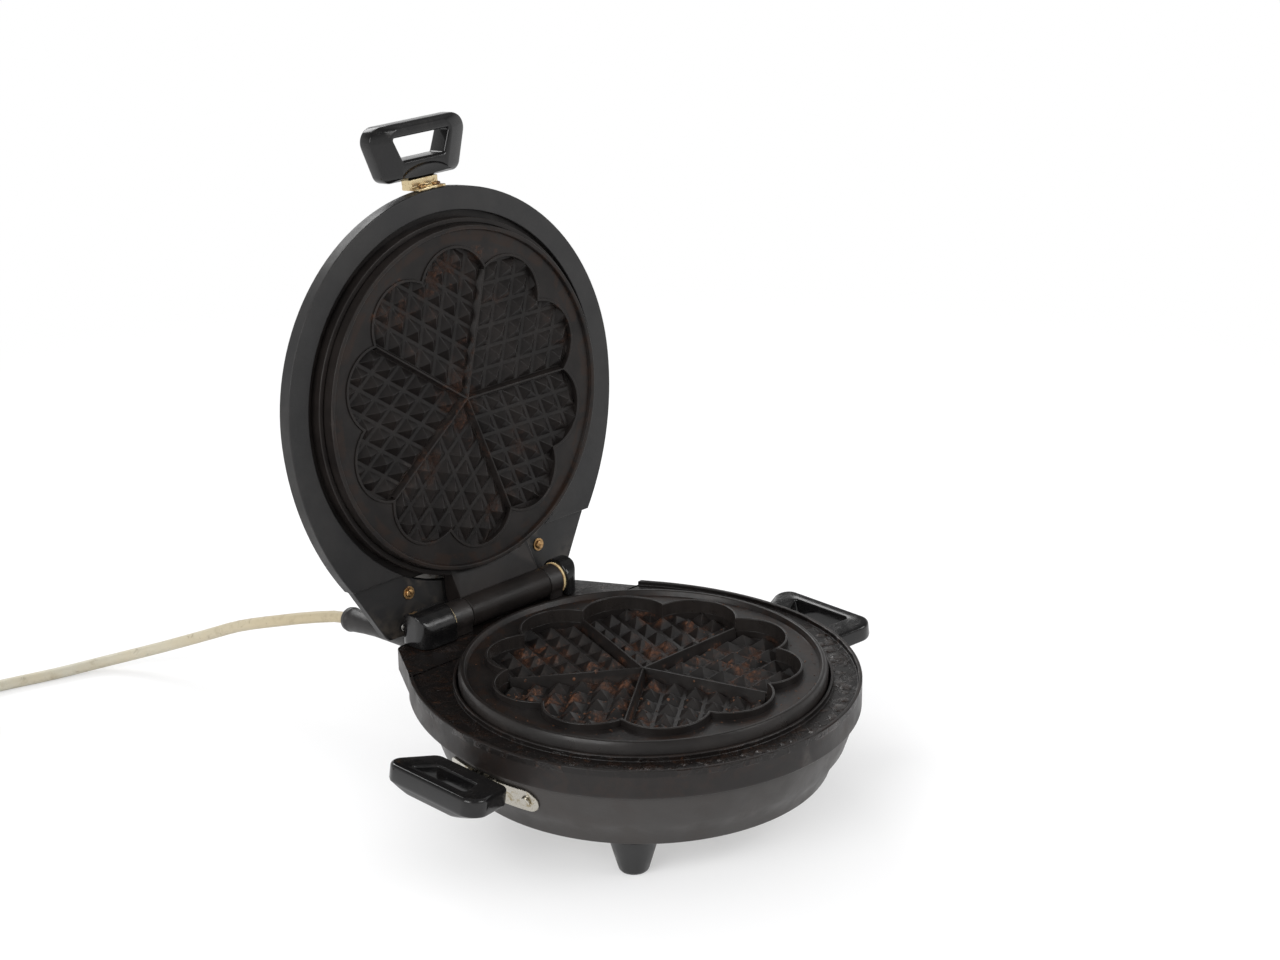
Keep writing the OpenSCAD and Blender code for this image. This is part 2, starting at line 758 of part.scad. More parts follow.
module lid_shell() {
  color("#2d2d2f") difference() {
    union() {
      slab(face_z, lid_top_z) rim_outline(0, tail_start);
      slab(lid_tail_z, lid_top_z) tail_outline(lid_tail_end);
      rotate_extrude() polygon(concat([[0, lid_top_z - 1], [dome_r, lid_top_z - 1]],
        [for (i = [12:-1:0]) [dome_r * i / 12, lid_top_z + dome_rise * (1 - pow(i / 12, 2))]]));
    }
    translate([0, 0, face_z - 1]) cylinder(r = face_r, h = face_t + 2);
    intersection() {
      rotate_extrude() polygon(concat([[0, upper_flange_z], [dome_in_r, upper_flange_z]],
        [for (i = [12:-1:0]) [dome_in_r * i / 12,
          lid_top_z + (dome_rise - wall) * (1 - pow(i / 12, 2))]]));
      union() {
        translate([0, 0, upper_flange_z - 1]) cylinder(r = face_r, h = lid_band_h + dome_rise);
        translate([-rim_r, -rim_r, upper_flange_z - 1])
          cube([2 * rim_r, rim_r + tail_solid_y, lid_band_h + dome_rise]);
      }
    }
    translate([barrel_left - clear - 1, notch_y, lid_tail_z - 10])
      cube([barrel_right - barrel_left + 2 * clear + 1, tail_end, roof_z - lid_tail_z + 10]);
    for (side = [-1, 1]) translate([side * ear_x, ear_y, lid_tail_z - 1])
      cylinder(r = ear_screw_r + screw_fit, h = ear_screw_l + 1.5);
    rounds(plate_screws, upper_screw_ring_r, plate_screw_turn)
      translate([0, 0, upper_flange_z - 2]) cylinder(r = plate_screw_r + screw_fit, h = 3);
    for (x = [-1, 1] * bracket_screw_x) translate([x, 1 - rim_r, face_z + bracket_screw_z])
      rotate([90, 0, 0]) translate([0, 0, -2]) cylinder(r = bracket_screw_r + screw_fit, h = 5);
  }
}

module upper_plate() {
  color("#262120") difference() {
    union() {
      rotate_extrude() polygon([[0, upper_floor_z], [upper_lip_in_r - 0.5, upper_floor_z],
        [upper_lip_in_r, upper_lip_z], [upper_lip_out_r, upper_lip_z],
        [upper_ledge_r - 0.4, upper_ledge_z + 0.8], [upper_ledge_r, upper_ledge_z + 0.8],
        [upper_ledge_r, upper_ledge_z], [upper_r, upper_ledge_z],
        [upper_r, upper_flange_z + upper_flange_t], [0, upper_flange_z + upper_flange_t]]);
      slab(upper_flange_z, upper_flange_z + upper_flange_t) intersection() {
        circle(r = upper_flange_r);
        translate([-rim_r, -rim_r]) square([2 * rim_r, rim_r + tail_solid_y - clear]);
      }
      slab(upper_ridge_z, upper_floor_z + 1) well_outline(ridge_t);
      on_hinge(barrel_left + barrel_gap)
        cylinder(r = barrel_r, h = barrel_right - barrel_left - 2 * barrel_gap);
      translate([barrel_left + barrel_gap, 0, 0]) rotate([90, 0, 90])
        linear_extrude(barrel_right - barrel_left - 2 * barrel_gap)
          polygon([[upper_r - 6, upper_ledge_z + 1], [hinge_y - barrel_r, hinge_z + 1],
            [hinge_y, hinge_z], [hinge_y + barrel_r * 0.7, hinge_z + barrel_r * 0.71],
            [tongue_rear_y, upper_flange_z], [upper_r - 6, upper_flange_z]]);
      translate([0, hinge_y, hinge_z]) rotate([open_angle, 0, 0])
        translate([0, lug_y, tail_z + clear - hinge_z])
          cube([lug_w, lug_d, hinge_z - tail_z - clear]);
    }
    translate([0, 0, upper_back_z])
      cylinder(r = upper_r - 3, h = upper_flange_z + upper_flange_t - upper_back_z + 1);
    translate([0, 0, upper_well_z]) mirror([0, 0, 1])
      wells(upper_well_z - upper_ridge_z, upper_pyramid_h, upper_well_z - upper_ridge_z);
    on_hinge(barrel_left - 1) cylinder(r = pin_r + pin_fit, h = barrel_right - barrel_left + 2);
    rounds(plate_screws, upper_screw_ring_r, plate_screw_turn) translate([0, 0, upper_flange_z - 1])
      cylinder(r = plate_screw_r + screw_fit, h = upper_flange_t + 2);
  }
}

module upper_plate_screws() {
  color("silver") rounds(plate_screws, upper_screw_ring_r, plate_screw_turn)
    translate([0, 0, upper_flange_z + upper_flange_t]) mirror([0, 0, 1])
      screw(plate_screw_r, plate_head_r, plate_head_h, upper_flange_t + upper_bite);
}

module upper_element() {
  color("gray") translate([0, 0, upper_back_z + clear + element_r]) element(upper_lead_l, false);
}

module upper_reflector() {
  low = upper_flange_z + upper_flange_t;
  out_r = upper_screw_ring_r - plate_head_r - clear;
  color("lightgray") rotate_extrude() polygon([[0, low + upper_drop], [upper_dish_r, low + upper_drop],
    [upper_dish_r + 2, low], [out_r, low], [out_r, low + reflector_t],
    [upper_dish_r + 2.5, low + reflector_t], [upper_dish_r + 0.5, low + upper_drop + reflector_t],
    [0, low + upper_drop + reflector_t]]);
}

module ear_washers() {
  color("#c08a3a") for (side = [-1, 1]) translate([side * ear_x, ear_y, lid_tail_z - ear_washer_t])
    difference() {
      cylinder(r = ear_washer_r, h = ear_washer_t);
      translate([0, 0, -1]) cylinder(r = ear_screw_r + screw_fit, h = ear_washer_t + 2);
    }
}

module ear_screws() {
  color("#c8a060") for (side = [-1, 1]) translate([side * ear_x, ear_y, lid_tail_z - ear_washer_t])
    screw(ear_screw_r, ear_head_r, ear_head_h, ear_washer_t + ear_screw_l);
}

module lid_handle() {
  translate([0, -handle_in_r, lid_handle_z]) rotate([0, 0, -90]) handle_loop();
}

module lid_handle_bracket() {
  half = asin(bracket_w / 2 / rim_r);
  color("#b9a97c") difference() {
    union() {
      rotate([0, 0, -90 - half]) rotate_extrude(angle = 2 * half)
        translate([rim_r + seat_gap, face_z + bracket_low])
          square([bracket_t, bracket_post_low + bracket_post_h - bracket_low]);
      translate([-bracket_w / 2, -handle_in_r, face_z + bracket_post_low])
        cube([bracket_w, handle_gap - seat_gap - bracket_t / 2, bracket_post_h]);
    }
    for (x = [-1, 1] * bracket_screw_x) translate([x, 2 - rim_r, face_z + bracket_screw_z])
      rotate([90, 0, 0]) cylinder(r = bracket_screw_r + screw_fit, h = 5);
  }
}

module lid_handle_screws() {
  face = sqrt(pow(rim_r + seat_gap + bracket_t, 2) - pow(bracket_screw_x, 2));
  color("#c8a060") for (x = [-1, 1] * bracket_screw_x)
    translate([x, -face - clear, face_z + bracket_screw_z]) rotate([-90, 0, 0])
      screw(bracket_screw_r, bracket_head_r, bracket_head_h, bracket_screw_l);
}

module strain_relief() {
  flare_z = relief_len - relief_flare;
  color("#4a4745") translate([relief_x, cap_rear_y, relief_z]) rotate([-90 - relief_tilt, 0, 0])
    difference() {
      rotate_extrude() polygon([[0, 0.5], [relief_root_r, 0.5], [relief_root_r, 5],
        [relief_neck_r, 8], [relief_neck_r, flare_z], [relief_neck_r + 0.5, flare_z + 8],
        [relief_end_r - 0.6, relief_len - 3 * relief_end_round],
        [relief_end_r, relief_len - 2 * relief_end_round],
        [relief_end_r - 0.5, relief_len - relief_end_round / 3], [relief_end_r - 1.8, relief_len],
        [0, relief_len]]);
    }
}

// A tube round a list of centre points, closed at both ends
module tube(path, r, sides) {
  n = len(path);
  ahead = [for (i = [0:n - 1]) unit(path[min(i + 1, n - 1)] - path[max(i - 1, 0)])];
  right = [for (a = ahead) unit(cross(a, [0, 0, 1]))];
  up = [for (i = [0:n - 1]) cross(right[i], ahead[i])];
  points = [for (i = [0:n - 1]) for (k = [0:sides - 1])
    let (a = (k + 0.5) * 360 / sides) path[i] + r * (cos(a) * right[i] + sin(a) * up[i])];
  walls = [for (i = [0:n - 2]) for (k = [0:sides - 1])
    let (a = i * sides + k, b = i * sides + (k + 1) % sides)
      each [[a, b, b + sides], [a, b + sides, a + sides]]];
  first = [for (k = [1:sides - 2]) [0, k + 1, k]];
  last = let (s = (n - 1) * sides) [for (k = [1:sides - 2]) [s, s + k, s + k + 1]];
  polyhedron(points = points, faces = concat(walls, first, last), convexity = 10);
}

// A smooth curve through the route's points
function bend(p, q, a, b, t) = let (u = 1 - t) u * u * u * p + 3 * u * u * t * (p + a / 3)
  + 3 * u * t * t * (q - b / 3) + t * t * t * q;
function lean(pts, i) = let (n = len(pts)) i == 0 ? pts[1] - pts[0]
  : i == n - 1 ? pts[n - 1] - pts[n - 2] : (pts[i + 1] - pts[i - 1]) / 2;
function smooth(pts, step, starts, ends) = [for (i = [0:len(pts) - 2])
  let (count = max(1, round(norm(pts[i + 1] - pts[i]) / step)), span = norm(pts[i + 1] - pts[i]),
    a = i == 0 ? starts * span : lean(pts, i), b = i == len(pts) - 2 ? ends * span : lean(pts, i + 1))
  for (j = [0:count - (i == len(pts) - 2 ? 0 : 1)]) bend(pts[i], pts[i + 1], a, b, j / count)];

// The coil's centre line: in along the lower layer, up, and out along the upper one
coil_total = 2 * coil_turns + 0.28;
coil_mid = coil_total / 2;
function coil_reach(t) = coil_r - coil_pitch * (coil_mid - abs(t - coil_mid));
function coil_height(t) = coil_low_z
  + coil_layer * min(1, max(0, (t - coil_mid + 0.25) / 0.5));
function coil_point(t) = let (a = coil_entry + 360 * t)
  [coil_centre[0] + coil_reach(t) * cos(a), coil_centre[1] + coil_reach(t) * sin(a), coil_height(t)];
coil_steps = round(coil_total * coil_rings);
coil_loops = [for (i = [0:coil_steps]) coil_point(coil_total * i / coil_steps)];
coil_in = unit(coil_loops[1] - coil_loops[0]);
coil_out = unit(coil_loops[coil_steps] - coil_loops[coil_steps - 1]);
coil_start = coil_loops[0] - cord_d * coil_in;
coil_end = coil_loops[coil_steps] + coil_plug_run * coil_out;
coil_path = concat([coil_start], coil_loops,
  [coil_loops[coil_steps] + cord_d * coil_out, coil_end]);
coil_gap = min([for (i = [0:3:coil_steps - coil_rings / 2])
  for (j = [i + coil_rings / 2:coil_steps]) norm(coil_loops[i] - coil_loops[j])]) - cord_d;

relief_aim = [0, cos(relief_tilt), -sin(relief_tilt)];
relief_end = [relief_x, cap_rear_y, relief_z] + relief_len * relief_aim;
stretch_path = smooth(concat([relief_end], [for (i = [1:len(route) - 1]) route[i]], [coil_start]),
  stretch_step, relief_aim, coil_in);

function path_length(path) = len(path) < 2 ? 0
  : [for (i = 1, s = norm(path[1] - path[0]); i < len(path);
      i = i + 1, s = s + (i < len(path) ? norm(path[i] - path[i - 1]) : 0)) s][len(path) - 2];

union() {  // cord_coil
  echo(str("least gap of the coil to itself, mm: ", coil_gap));
  echo(str("length of the stretch and of the coil, mm: ", path_length(stretch_path), ", ",
    path_length(coil_path)));
  echo(str("rings of the stretch: ", len(stretch_path)));
}

module cord_stretch() {
  color("#cfc8b4") tube(stretch_path, cord_r, stretch_sides);
}

module cord_coil() {
  color("#cfc8b4") tube(coil_path, cord_r, coil_sides);
}

// Draws along the cord's end, with z pointing away from the coil
module at_plug() {
  turn = atan2(coil_out[1], coil_out[0]);
  translate(coil_end) rotate([0, 90, turn]) children();
}

module plug_body() {
  thick = 2 * coil_end[2];
  color("#191716") at_plug() difference() {
    union() {
      cylinder(r = plug_neck_r, h = plug_neck_l + 1);
      translate([0, 0, plug_neck_l]) intersection() {
        linear_extrude(plug_l) polygon(rounded([[-thick / 2, -plug_w / 2], [thick / 2, -plug_w / 2],
          [thick / 2, plug_w / 2], [-thick / 2, plug_w / 2]], [for (i = [0:3]) plug_corner_r]));
        translate([-thick / 2, 0, 0]) rotate([0, 90, 0]) translate([-plug_l / 2, 0, 0])
          linear_extrude(thick) polygon(rounded([[-plug_l / 2, -plug_w / 2], [plug_l / 2, -plug_w / 3],
            [plug_l / 2, plug_w / 3], [-plug_l / 2, plug_w / 2]], [2, 5, 5, 2]));
      }
    }
    for (side = [-1, 1]) translate([0, side * plug_pin_gap / 2, plug_neck_l + plug_l - plug_pin_seat])
      cylinder(r = plug_pin_neck_r, h = plug_pin_seat + 1);
  }
}

module plug_pins() {
  color("#c9a95c") at_plug() for (side = [-1, 1])
    translate([0, side * plug_pin_gap / 2, plug_neck_l + plug_l]) {
      translate([0, 0, -plug_pin_seat])
        cylinder(r = plug_pin_neck_r, h = plug_pin_seat + plug_pin_stand + eps);
      translate([0, 0, plug_pin_stand]) cylinder(r = plug_pin_r, h = plug_pin_l - plug_pin_stand);
    }
}

placed() base_bowl();
placed() lower_plate();
placed() lower_plate_screws();
placed() lower_element();
placed() lower_reflector();
placed() terminal_block();
placed() bottom_cover();
placed() cover_screws();
placed() foot(0);  // foot_front_left
placed() foot(1);  // foot_front_right
placed() foot(2);  // foot_rear_left
placed() foot(3);  // foot_rear_right
placed() foot_screws();
placed() knuckle(knuckle_left_x, knuckle_left_w);  // knuckle_left
placed() knuckle(barrel_right, knuckle_right_w);  // knuckle_right
placed() hinge_pin();
placed() hinge_ring(knuckle_left_x - ring_t);  // hinge_ring_left
placed() hinge_ring(knuckle_right_x);  // hinge_ring_right
placed() hinge_cap_left();
placed() hinge_cap_right();
placed() cap_screws();
placed() rotate([0, 0, 180]) at_side() handle_loop();  // side_handle_left
placed() at_side() handle_loop();  // side_handle_right
placed() rotate([0, 0, 180]) handle_strap();  // handle_strap_left
placed() handle_strap();  // handle_strap_right
placed() rotate([0, 0, 180]) strap_rivets();  // strap_rivets_left
placed() strap_rivets();  // strap_rivets_right
placed() opened() lid_shell();
placed() opened() upper_plate();
placed() opened() upper_plate_screws();
placed() opened() upper_element();
placed() opened() upper_reflector();
placed() opened() ear_screws();
placed() opened() ear_washers();
placed() opened() lid_handle();
placed() opened() lid_handle_bracket();
placed() opened() lid_handle_screws();
placed() strain_relief();
placed() cord_stretch();
placed() cord_coil();
placed() plug_body();
placed() plug_pins();
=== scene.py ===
import math
import random
import bmesh
import bpy
from mathutils import Matrix, Quaternion, Vector
from mathutils.bvhtree import BVHTree


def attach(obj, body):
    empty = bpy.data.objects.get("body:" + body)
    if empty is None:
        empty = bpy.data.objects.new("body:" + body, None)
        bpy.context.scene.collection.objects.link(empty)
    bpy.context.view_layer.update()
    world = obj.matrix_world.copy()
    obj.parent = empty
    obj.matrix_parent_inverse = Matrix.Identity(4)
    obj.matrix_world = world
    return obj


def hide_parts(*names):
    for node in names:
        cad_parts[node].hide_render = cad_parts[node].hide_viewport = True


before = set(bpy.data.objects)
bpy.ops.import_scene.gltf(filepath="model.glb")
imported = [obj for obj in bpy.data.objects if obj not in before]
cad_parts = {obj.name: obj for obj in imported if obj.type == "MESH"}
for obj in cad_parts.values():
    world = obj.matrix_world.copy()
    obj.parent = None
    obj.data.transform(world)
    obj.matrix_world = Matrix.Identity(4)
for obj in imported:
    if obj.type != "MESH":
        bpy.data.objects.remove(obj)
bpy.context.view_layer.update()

# A waffle iron for five hearts. The CAD frame is loaded above; lengths here are millimetres until a piece is
# finished, and the finished meshes are in metres.
mm = 0.001
scene = bpy.context.scene

hinge = dict(y=72.6503, z=63.6, openAngle=96.5)      # the lid's axis runs along X through this point
discShift = -25.5497                                 # from the plates' centre to the part's middle


def inBase(x, y, z):
    # a place measured from the plates' centre, in the part's frame
    return Vector((x, y + discShift, z))


def inLid(x, y, z):
    # the same place on the closed lid, turned to where the lid stands open
    turn = Matrix.Rotation(math.radians(-hinge["openAngle"]), 4, "X")
    pivot = Vector((0, hinge["y"], hinge["z"]))
    return turn @ (inBase(x, y, z) - pivot) + pivot


def lidDirection(x, y, z):
    return Matrix.Rotation(math.radians(-hinge["openAngle"]), 3, "X") @ Vector((x, y, z))


def around(angle, reach, z):
    # a place on the base by its angle round the plates' centre, from +X towards the hinge
    return inBase(reach * math.cos(math.radians(angle)), reach * math.sin(math.radians(angle)), z)


# Camera, at the photograph's viewing angle
camera = dict(place=(-716.2, -737.82, 528.0), azimuth=-45.13, elevation=20.54, roll=-0.64, lens=70.36)
camData = bpy.data.cameras.new("camera")
camData.lens = camera["lens"]
camData.sensor_width = 36
camData.sensor_fit = "HORIZONTAL"
camData.clip_end = 20
camObject = bpy.data.objects.new("camera", camData)
scene.collection.objects.link(camObject)
turn, tilt = math.radians(camera["azimuth"]), math.radians(camera["elevation"])
back = Vector((math.sin(turn) * math.cos(tilt), -math.cos(turn) * math.cos(tilt), math.sin(tilt)))
camObject.rotation_mode = "QUATERNION"
camObject.rotation_quaternion = ((-back).to_track_quat("-Z", "Y")
                                 @ Quaternion((0, 0, 1), math.radians(camera["roll"])))
camObject.location = Vector(camera["place"]) * mm
scene.camera = camObject
print("camera set")


# Tools for modelling by hand
def only(piece):
    bpy.ops.object.select_all(action="DESELECT")
    piece.select_set(True)
    bpy.context.view_layer.objects.active = piece


def editing(piece, *steps):
    # runs edit-mode steps on a whole piece
    only(piece)
    bpy.ops.object.mode_set(mode="EDIT")
    bpy.ops.mesh.select_all(action="SELECT")
    for step in steps:
        step()
    bpy.ops.object.mode_set(mode="OBJECT")


def modified(piece, kind, **settings):
    only(piece)
    modifier = piece.modifiers.new(kind.lower(), kind)
    for key, value in settings.items():
        setattr(modifier, key, value)
    bpy.ops.object.modifier_apply(modifier=modifier.name)


def settled(piece):
    # leaves the place in the mesh, and the object at the origin
    only(piece)
    bpy.ops.object.transform_apply(location=True, rotation=True, scale=True)


def placed(piece, matrix):
    piece.matrix_world = matrix @ piece.matrix_world
    settled(piece)


def joined(name, parts):
    only(parts[0])
    for part in parts:
        part.select_set(True)
    if len(parts) > 1:
        bpy.ops.object.join()
    parts[0].name = name
    parts[0].data.name = name
    return parts[0]


def copied(piece):
    twin = piece.copy()
    twin.data = piece.data.copy()
    scene.collection.objects.link(twin)
    return twin


def finished(piece, body, material, nodes=(), angle=35):
    only(piece)
    if angle:
        bpy.ops.object.shade_smooth_by_angle(angle=math.radians(angle))
    piece.data.materials.clear()
    piece.data.materials.append(material)
    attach(piece, body)
    if nodes:
        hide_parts(*nodes)
    return piece


def pickFaces(piece, test):
    # selects the faces whose middle and normal pass the test, for the edit-mode steps that follow
    for face in piece.data.polygons:
        face.select = test(face.center / mm, face.normal)
    for edge in piece.data.edges:
        edge.select = False
    for corner in piece.data.vertices:
        corner.select = False
    for face in piece.data.polygons:
        if face.select:
            for i in face.vertices:
                piece.data.vertices[i].select = True


def closed(place):
    # where a place on the open lid, in millimetres, lies with the lid closed
    pivot = Vector((0, hinge["y"], hinge["z"]))
    return Matrix.Rotation(math.radians(hinge["openAngle"]), 3, "X") @ (Vector(place) - pivot) + pivot


def twinOf(name, node, *steps):
    # a copy of a CAD node, its corners welded, and edited by the steps
    piece = bpy.data.objects.new(name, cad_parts[node].data.copy())
    scene.collection.objects.link(piece)
    editing(piece, lambda: bpy.ops.mesh.customdata_custom_splitnormals_clear(),
            lambda: bpy.ops.mesh.remove_doubles(threshold=0.02 * mm), *steps)
    return piece


def softened(name, node, width, segments=2, share=None, angle=30):
    # the same shape as a CAD node, with its hard edges rounded off. share says how much of the width an outer
    # edge gets, from its middle in millimetres and its direction, and leaves the inner edges sharp.
    piece = twinOf(name, node,
                   lambda: bpy.ops.mesh.dissolve_limited(angle_limit=math.radians(1), delimit={"NORMAL"}),
                   lambda: bpy.ops.mesh.quads_convert_to_tris(quad_method="BEAUTY", ngon_method="BEAUTY"))
    only(piece)
    bpy.ops.object.shade_smooth()
    settings = dict(width=width * mm, segments=segments, use_clamp_overlap=False, harden_normals=True,
                    miter_outer="MITER_SHARP")
    if not share:
        modified(piece, "BEVEL", limit_method="ANGLE", angle_limit=math.radians(angle), **settings)
        return piece
    shell = bmesh.new()
    shell.from_mesh(piece.data)
    weight = shell.edges.layers.float.new("bevel_weight_edge")
    for edge in shell.edges:
        lean = edge.calc_face_angle_signed(0) if len(edge.link_faces) == 2 else 0
        a, b = (corner.co / mm for corner in edge.verts)
        if lean > math.radians(angle):
            edge[weight] = share((a + b) / 2, (b - a).normalized())
        edge.smooth = abs(lean) < math.radians(angle) or edge[weight] > 0
    shell.to_mesh(piece.data)
    shell.free()
    modified(piece, "BEVEL", limit_method="WEIGHT", **settings)
    return piece


def moulded(name, node, grain, rounds):
    # a CAD node's shape with every edge melted round, as on a moulding
    piece = twinOf(name, node)
    modified(piece, "REMESH", mode="VOXEL", voxel_size=grain * mm)
    modified(piece, "SMOOTH", factor=0.5, iterations=rounds)
    only(piece)
    bpy.ops.object.shade_smooth()
    return piece


print("tools ready")


# The free cord. The route's points and the coil's sizes also stand in the part's source.
cord = dict(radius=2.8, reliefRoot=(-40, 107.4, 52.6), reliefLength=50.2, reliefTilt=3,
            route=[(-46, 174, 47.5), (-54, 193, 42.5), (-60, 218, 34), (-65, 241, 23.5), (-75, 267, 12),
                   (-93, 287, 4.6), (-118, 296, 3), (-145, 304, 3), (-175, 311, 3)],
            coilMiddle=(-214, 282), coilEntry=74.6, coilRadius=41.7, pitch=6.3, low=3, turns=7.28,
            ringsPerTurn=40, plugRun=27, step=9)


def coilPoint(t):
    angle = math.radians(cord["coilEntry"] + 360 * t)
    half = cord["turns"] / 2
    reach = cord["coilRadius"] - cord["pitch"] * (half - abs(t - half))
    height = cord["low"] + cord["pitch"] * min(1, max(0, (t - half + 0.25) / 0.5))
    return inBase(cord["coilMiddle"][0] + reach * math.cos(angle),
                  cord["coilMiddle"][1] + reach * math.sin(angle), height)


def smoothRoute(points, starts, ends):
    # an even curve through the route's points, which sets out along one direction and arrives along another
    last, path = len(points) - 1, []
    leans = [(points[min(i + 1, last)] - points[max(i - 1, 0)]) / 2 for i in range(last + 1)]
    for i in range(last):
        span = (points[i + 1] - points[i]).length
        a = starts * span if i == 0 else leans[i]
        b = ends * span if i == last - 1 else leans[i + 1]
        steps = max(1, round(span / cord["step"]))
        for j in range(steps):
            t, u = j / steps, 1 - j / steps
            path.append(u ** 3 * points[i] + 3 * u * u * t * (points[i] + a / 3)
                        + 3 * u * t * t * (points[i + 1] - b / 3) + t ** 3 * points[i + 1])
    return path


coilSteps = round(cord["turns"] * cord["ringsPerTurn"])
loops = [coilPoint(cord["turns"] * i / coilSteps) for i in range(coilSteps + 1)]
coilIn = (loops[1] - loops[0]).normalized()
coilOut = (loops[-1] - loops[-2]).normalized()
coilOut.z = 0
coilOut.normalize()
plugStart = loops[-1] + cord["plugRun"] * coilOut
reliefTilt = math.radians(cord["reliefTilt"])
reliefAim = Vector((0, math.cos(reliefTilt), -math.sin(reliefTilt)))
reliefRoot = inBase(*cord["reliefRoot"])
reliefEnd = reliefRoot + cord["reliefLength"] * reliefAim
coilStart = loops[0] - 2 * cord["radius"] * coilIn
cordPath = smoothRoute([reliefEnd] + [inBase(*p) for p in cord["route"]] + [coilStart], reliefAim, coilIn)
cordPath += [coilStart] + loops + [loops[-1] + 2 * cord["radius"] * coilOut, plugStart]
cordCurve = bpy.data.curves.new("mainsCord", "CURVE")
cordCurve.dimensions = "3D"
cordCurve.bevel_depth = cord["radius"] * mm
cordCurve.bevel_resolution = 5
cordCurve.use_fill_caps = True
spline = cordCurve.splines.new("POLY")
spline.points.add(len(cordPath) - 1)
for point, place in zip(spline.points, cordPath):
    point.co = (*(place * mm), 1)
mainsCord = bpy.data.objects.new("mainsCord", cordCurve)
scene.collection.objects.link(mainsCord)
cordLength = sum((b - a).length for a, b in zip(cordPath, cordPath[1:])) * mm
print("cord laid,", round(cordLength, 3), "m")


# Materials: an expression on values adds its Math nodes, and any other node comes from Paint.node
class Value:
    def __init__(self, paint, socket):
        self.paint = paint
        self.socket = socket

    def __add__(self, other):
        return self.paint.maths("ADD", self, other)

    def __sub__(self, other):
        return self.paint.maths("SUBTRACT", self, other)

    def __rsub__(self, other):
        return self.paint.maths("SUBTRACT", other, self)

    def __mul__(self, other):
        return self.paint.maths("MULTIPLY", self, other)

    __radd__ = __add__
    __rmul__ = __mul__


class Paint:
    def __init__(self, name, **shaderSockets):
        self.material = bpy.data.materials.new(name)
        self.material.use_nodes = True
        self.tree = self.material.node_tree
        self.shader = self.tree.nodes["Principled BSDF"]
        for key, value in shaderSockets.items():
            self.shader.inputs[key.replace("_", " ")].default_value = value
        self.place = self.node("VectorMath", {"operation": "SCALE"},
                               {0: self.node("TexCoord", {}, {}, "Object"), "Scale": 1 / mm})

    def node(self, kind, settings, sockets, output=0):
        made = self.tree.nodes.new("ShaderNode" + kind)
        for key, value in settings.items():
            if key == "stops":
                elements = made.color_ramp.elements
                elements[0].position, elements[0].color = value[0][0], (*value[0][1], 1)
                elements[1].position, elements[1].color = value[-1][0], (*value[-1][1], 1)
                for at, colour in value[1:-1]:
                    elements.new(at).color = (*colour, 1)
            else:
                setattr(made, key, value)
        for key, value in sockets.items():
            if isinstance(value, Value):
                self.tree.links.new(value.socket, made.inputs[key])
            else:
                made.inputs[key].default_value = value
        return Value(self, made.outputs[output])

    def maths(self, operation, a, b=0.0, clamp=False):
        return self.node("Math", {"operation": operation, "use_clamp": clamp}, {0: a, 1: b})

    def noise(self, size, detail=3.0, rough=0.5, at=None, warp=0.0):
        # cloudy values round a half, with lumps about this many millimetres across
        return self.node("TexNoise", {}, {"Vector": at or self.place, "Scale": 1 / size, "Detail": detail,
                                          "Roughness": rough, "Distortion": warp})

    def cells(self, size, at=None, feature="F1"):
        return self.node("TexVoronoi", {"feature": feature}, {"Vector": at or self.place, "Scale": 1 / size})

    def ease(self, value, low, high, start=0.0, end=1.0):
        return self.node("MapRange", {"interpolation_type": "SMOOTHSTEP"},
                         {"Value": value, "From Min": low, "From Max": high, "To Min": start, "To Max": end})

    def blend(self, share, a, b):
        colours = {6: a if isinstance(a, Value) else (*a, 1), 7: b if isinstance(b, Value) else (*b, 1)}
        return self.node("Mix", {"data_type": "RGBA"}, {0: share, **colours}, 2)

    def axis(self, name, at=None):
        return self.node("SeparateXYZ", {}, {0: at or self.place}, name)

    def radius(self, middle, at=None):
        # distance from a vertical axis through the middle
        flat = self.node("VectorMath", {"operation": "MULTIPLY_ADD"},
                         {0: at or self.place, 1: (1, 1, 0), 2: (-middle[0], -middle[1], 0)})
        return self.node("VectorMath", {"operation": "LENGTH"}, {0: flat}, "Value")

    def edgeWearAndHighlight(self, low, high):
        # 0 in hollows and on flats, 1 on outer edges; it marks edge wear and a painted highlight along edges
        return self.ease(self.node("NewGeometry", {}, {}, "Pointiness"), low, high)

    def coat(self, colour, rough, bumps, metallic=None):
        # bumps are (height, millimetres) from coarse to fine
        normal = None
        for height, depth in bumps:
            sockets = {"Height": height, "Distance": depth * mm, "Strength": 1.0}
            if normal:
                sockets["Normal"] = normal
            normal = self.node("Bump", {}, sockets)
        links = {"Base Color": colour, "Roughness": rough, "Metallic": metallic, "Normal": normal}
        for key, value in links.items():
            if isinstance(value, Value):
                self.tree.links.new(value.socket, self.shader.inputs[key])
            elif value is not None:
                self.shader.inputs[key].default_value = value
        return self.material


def closedLid(paint):
    # coordinates on the lid, turned back to where the closed lid lies
    angle = math.radians(hinge["openAngle"])
    pivot = Vector((0, hinge["y"], hinge["z"]))
    shift = pivot - Matrix.Rotation(angle, 3, "X") @ pivot
    return paint.node("Mapping", {"vector_type": "POINT"},
                      {"Vector": paint.place, "Location": shift, "Rotation": (angle, 0, 0)})


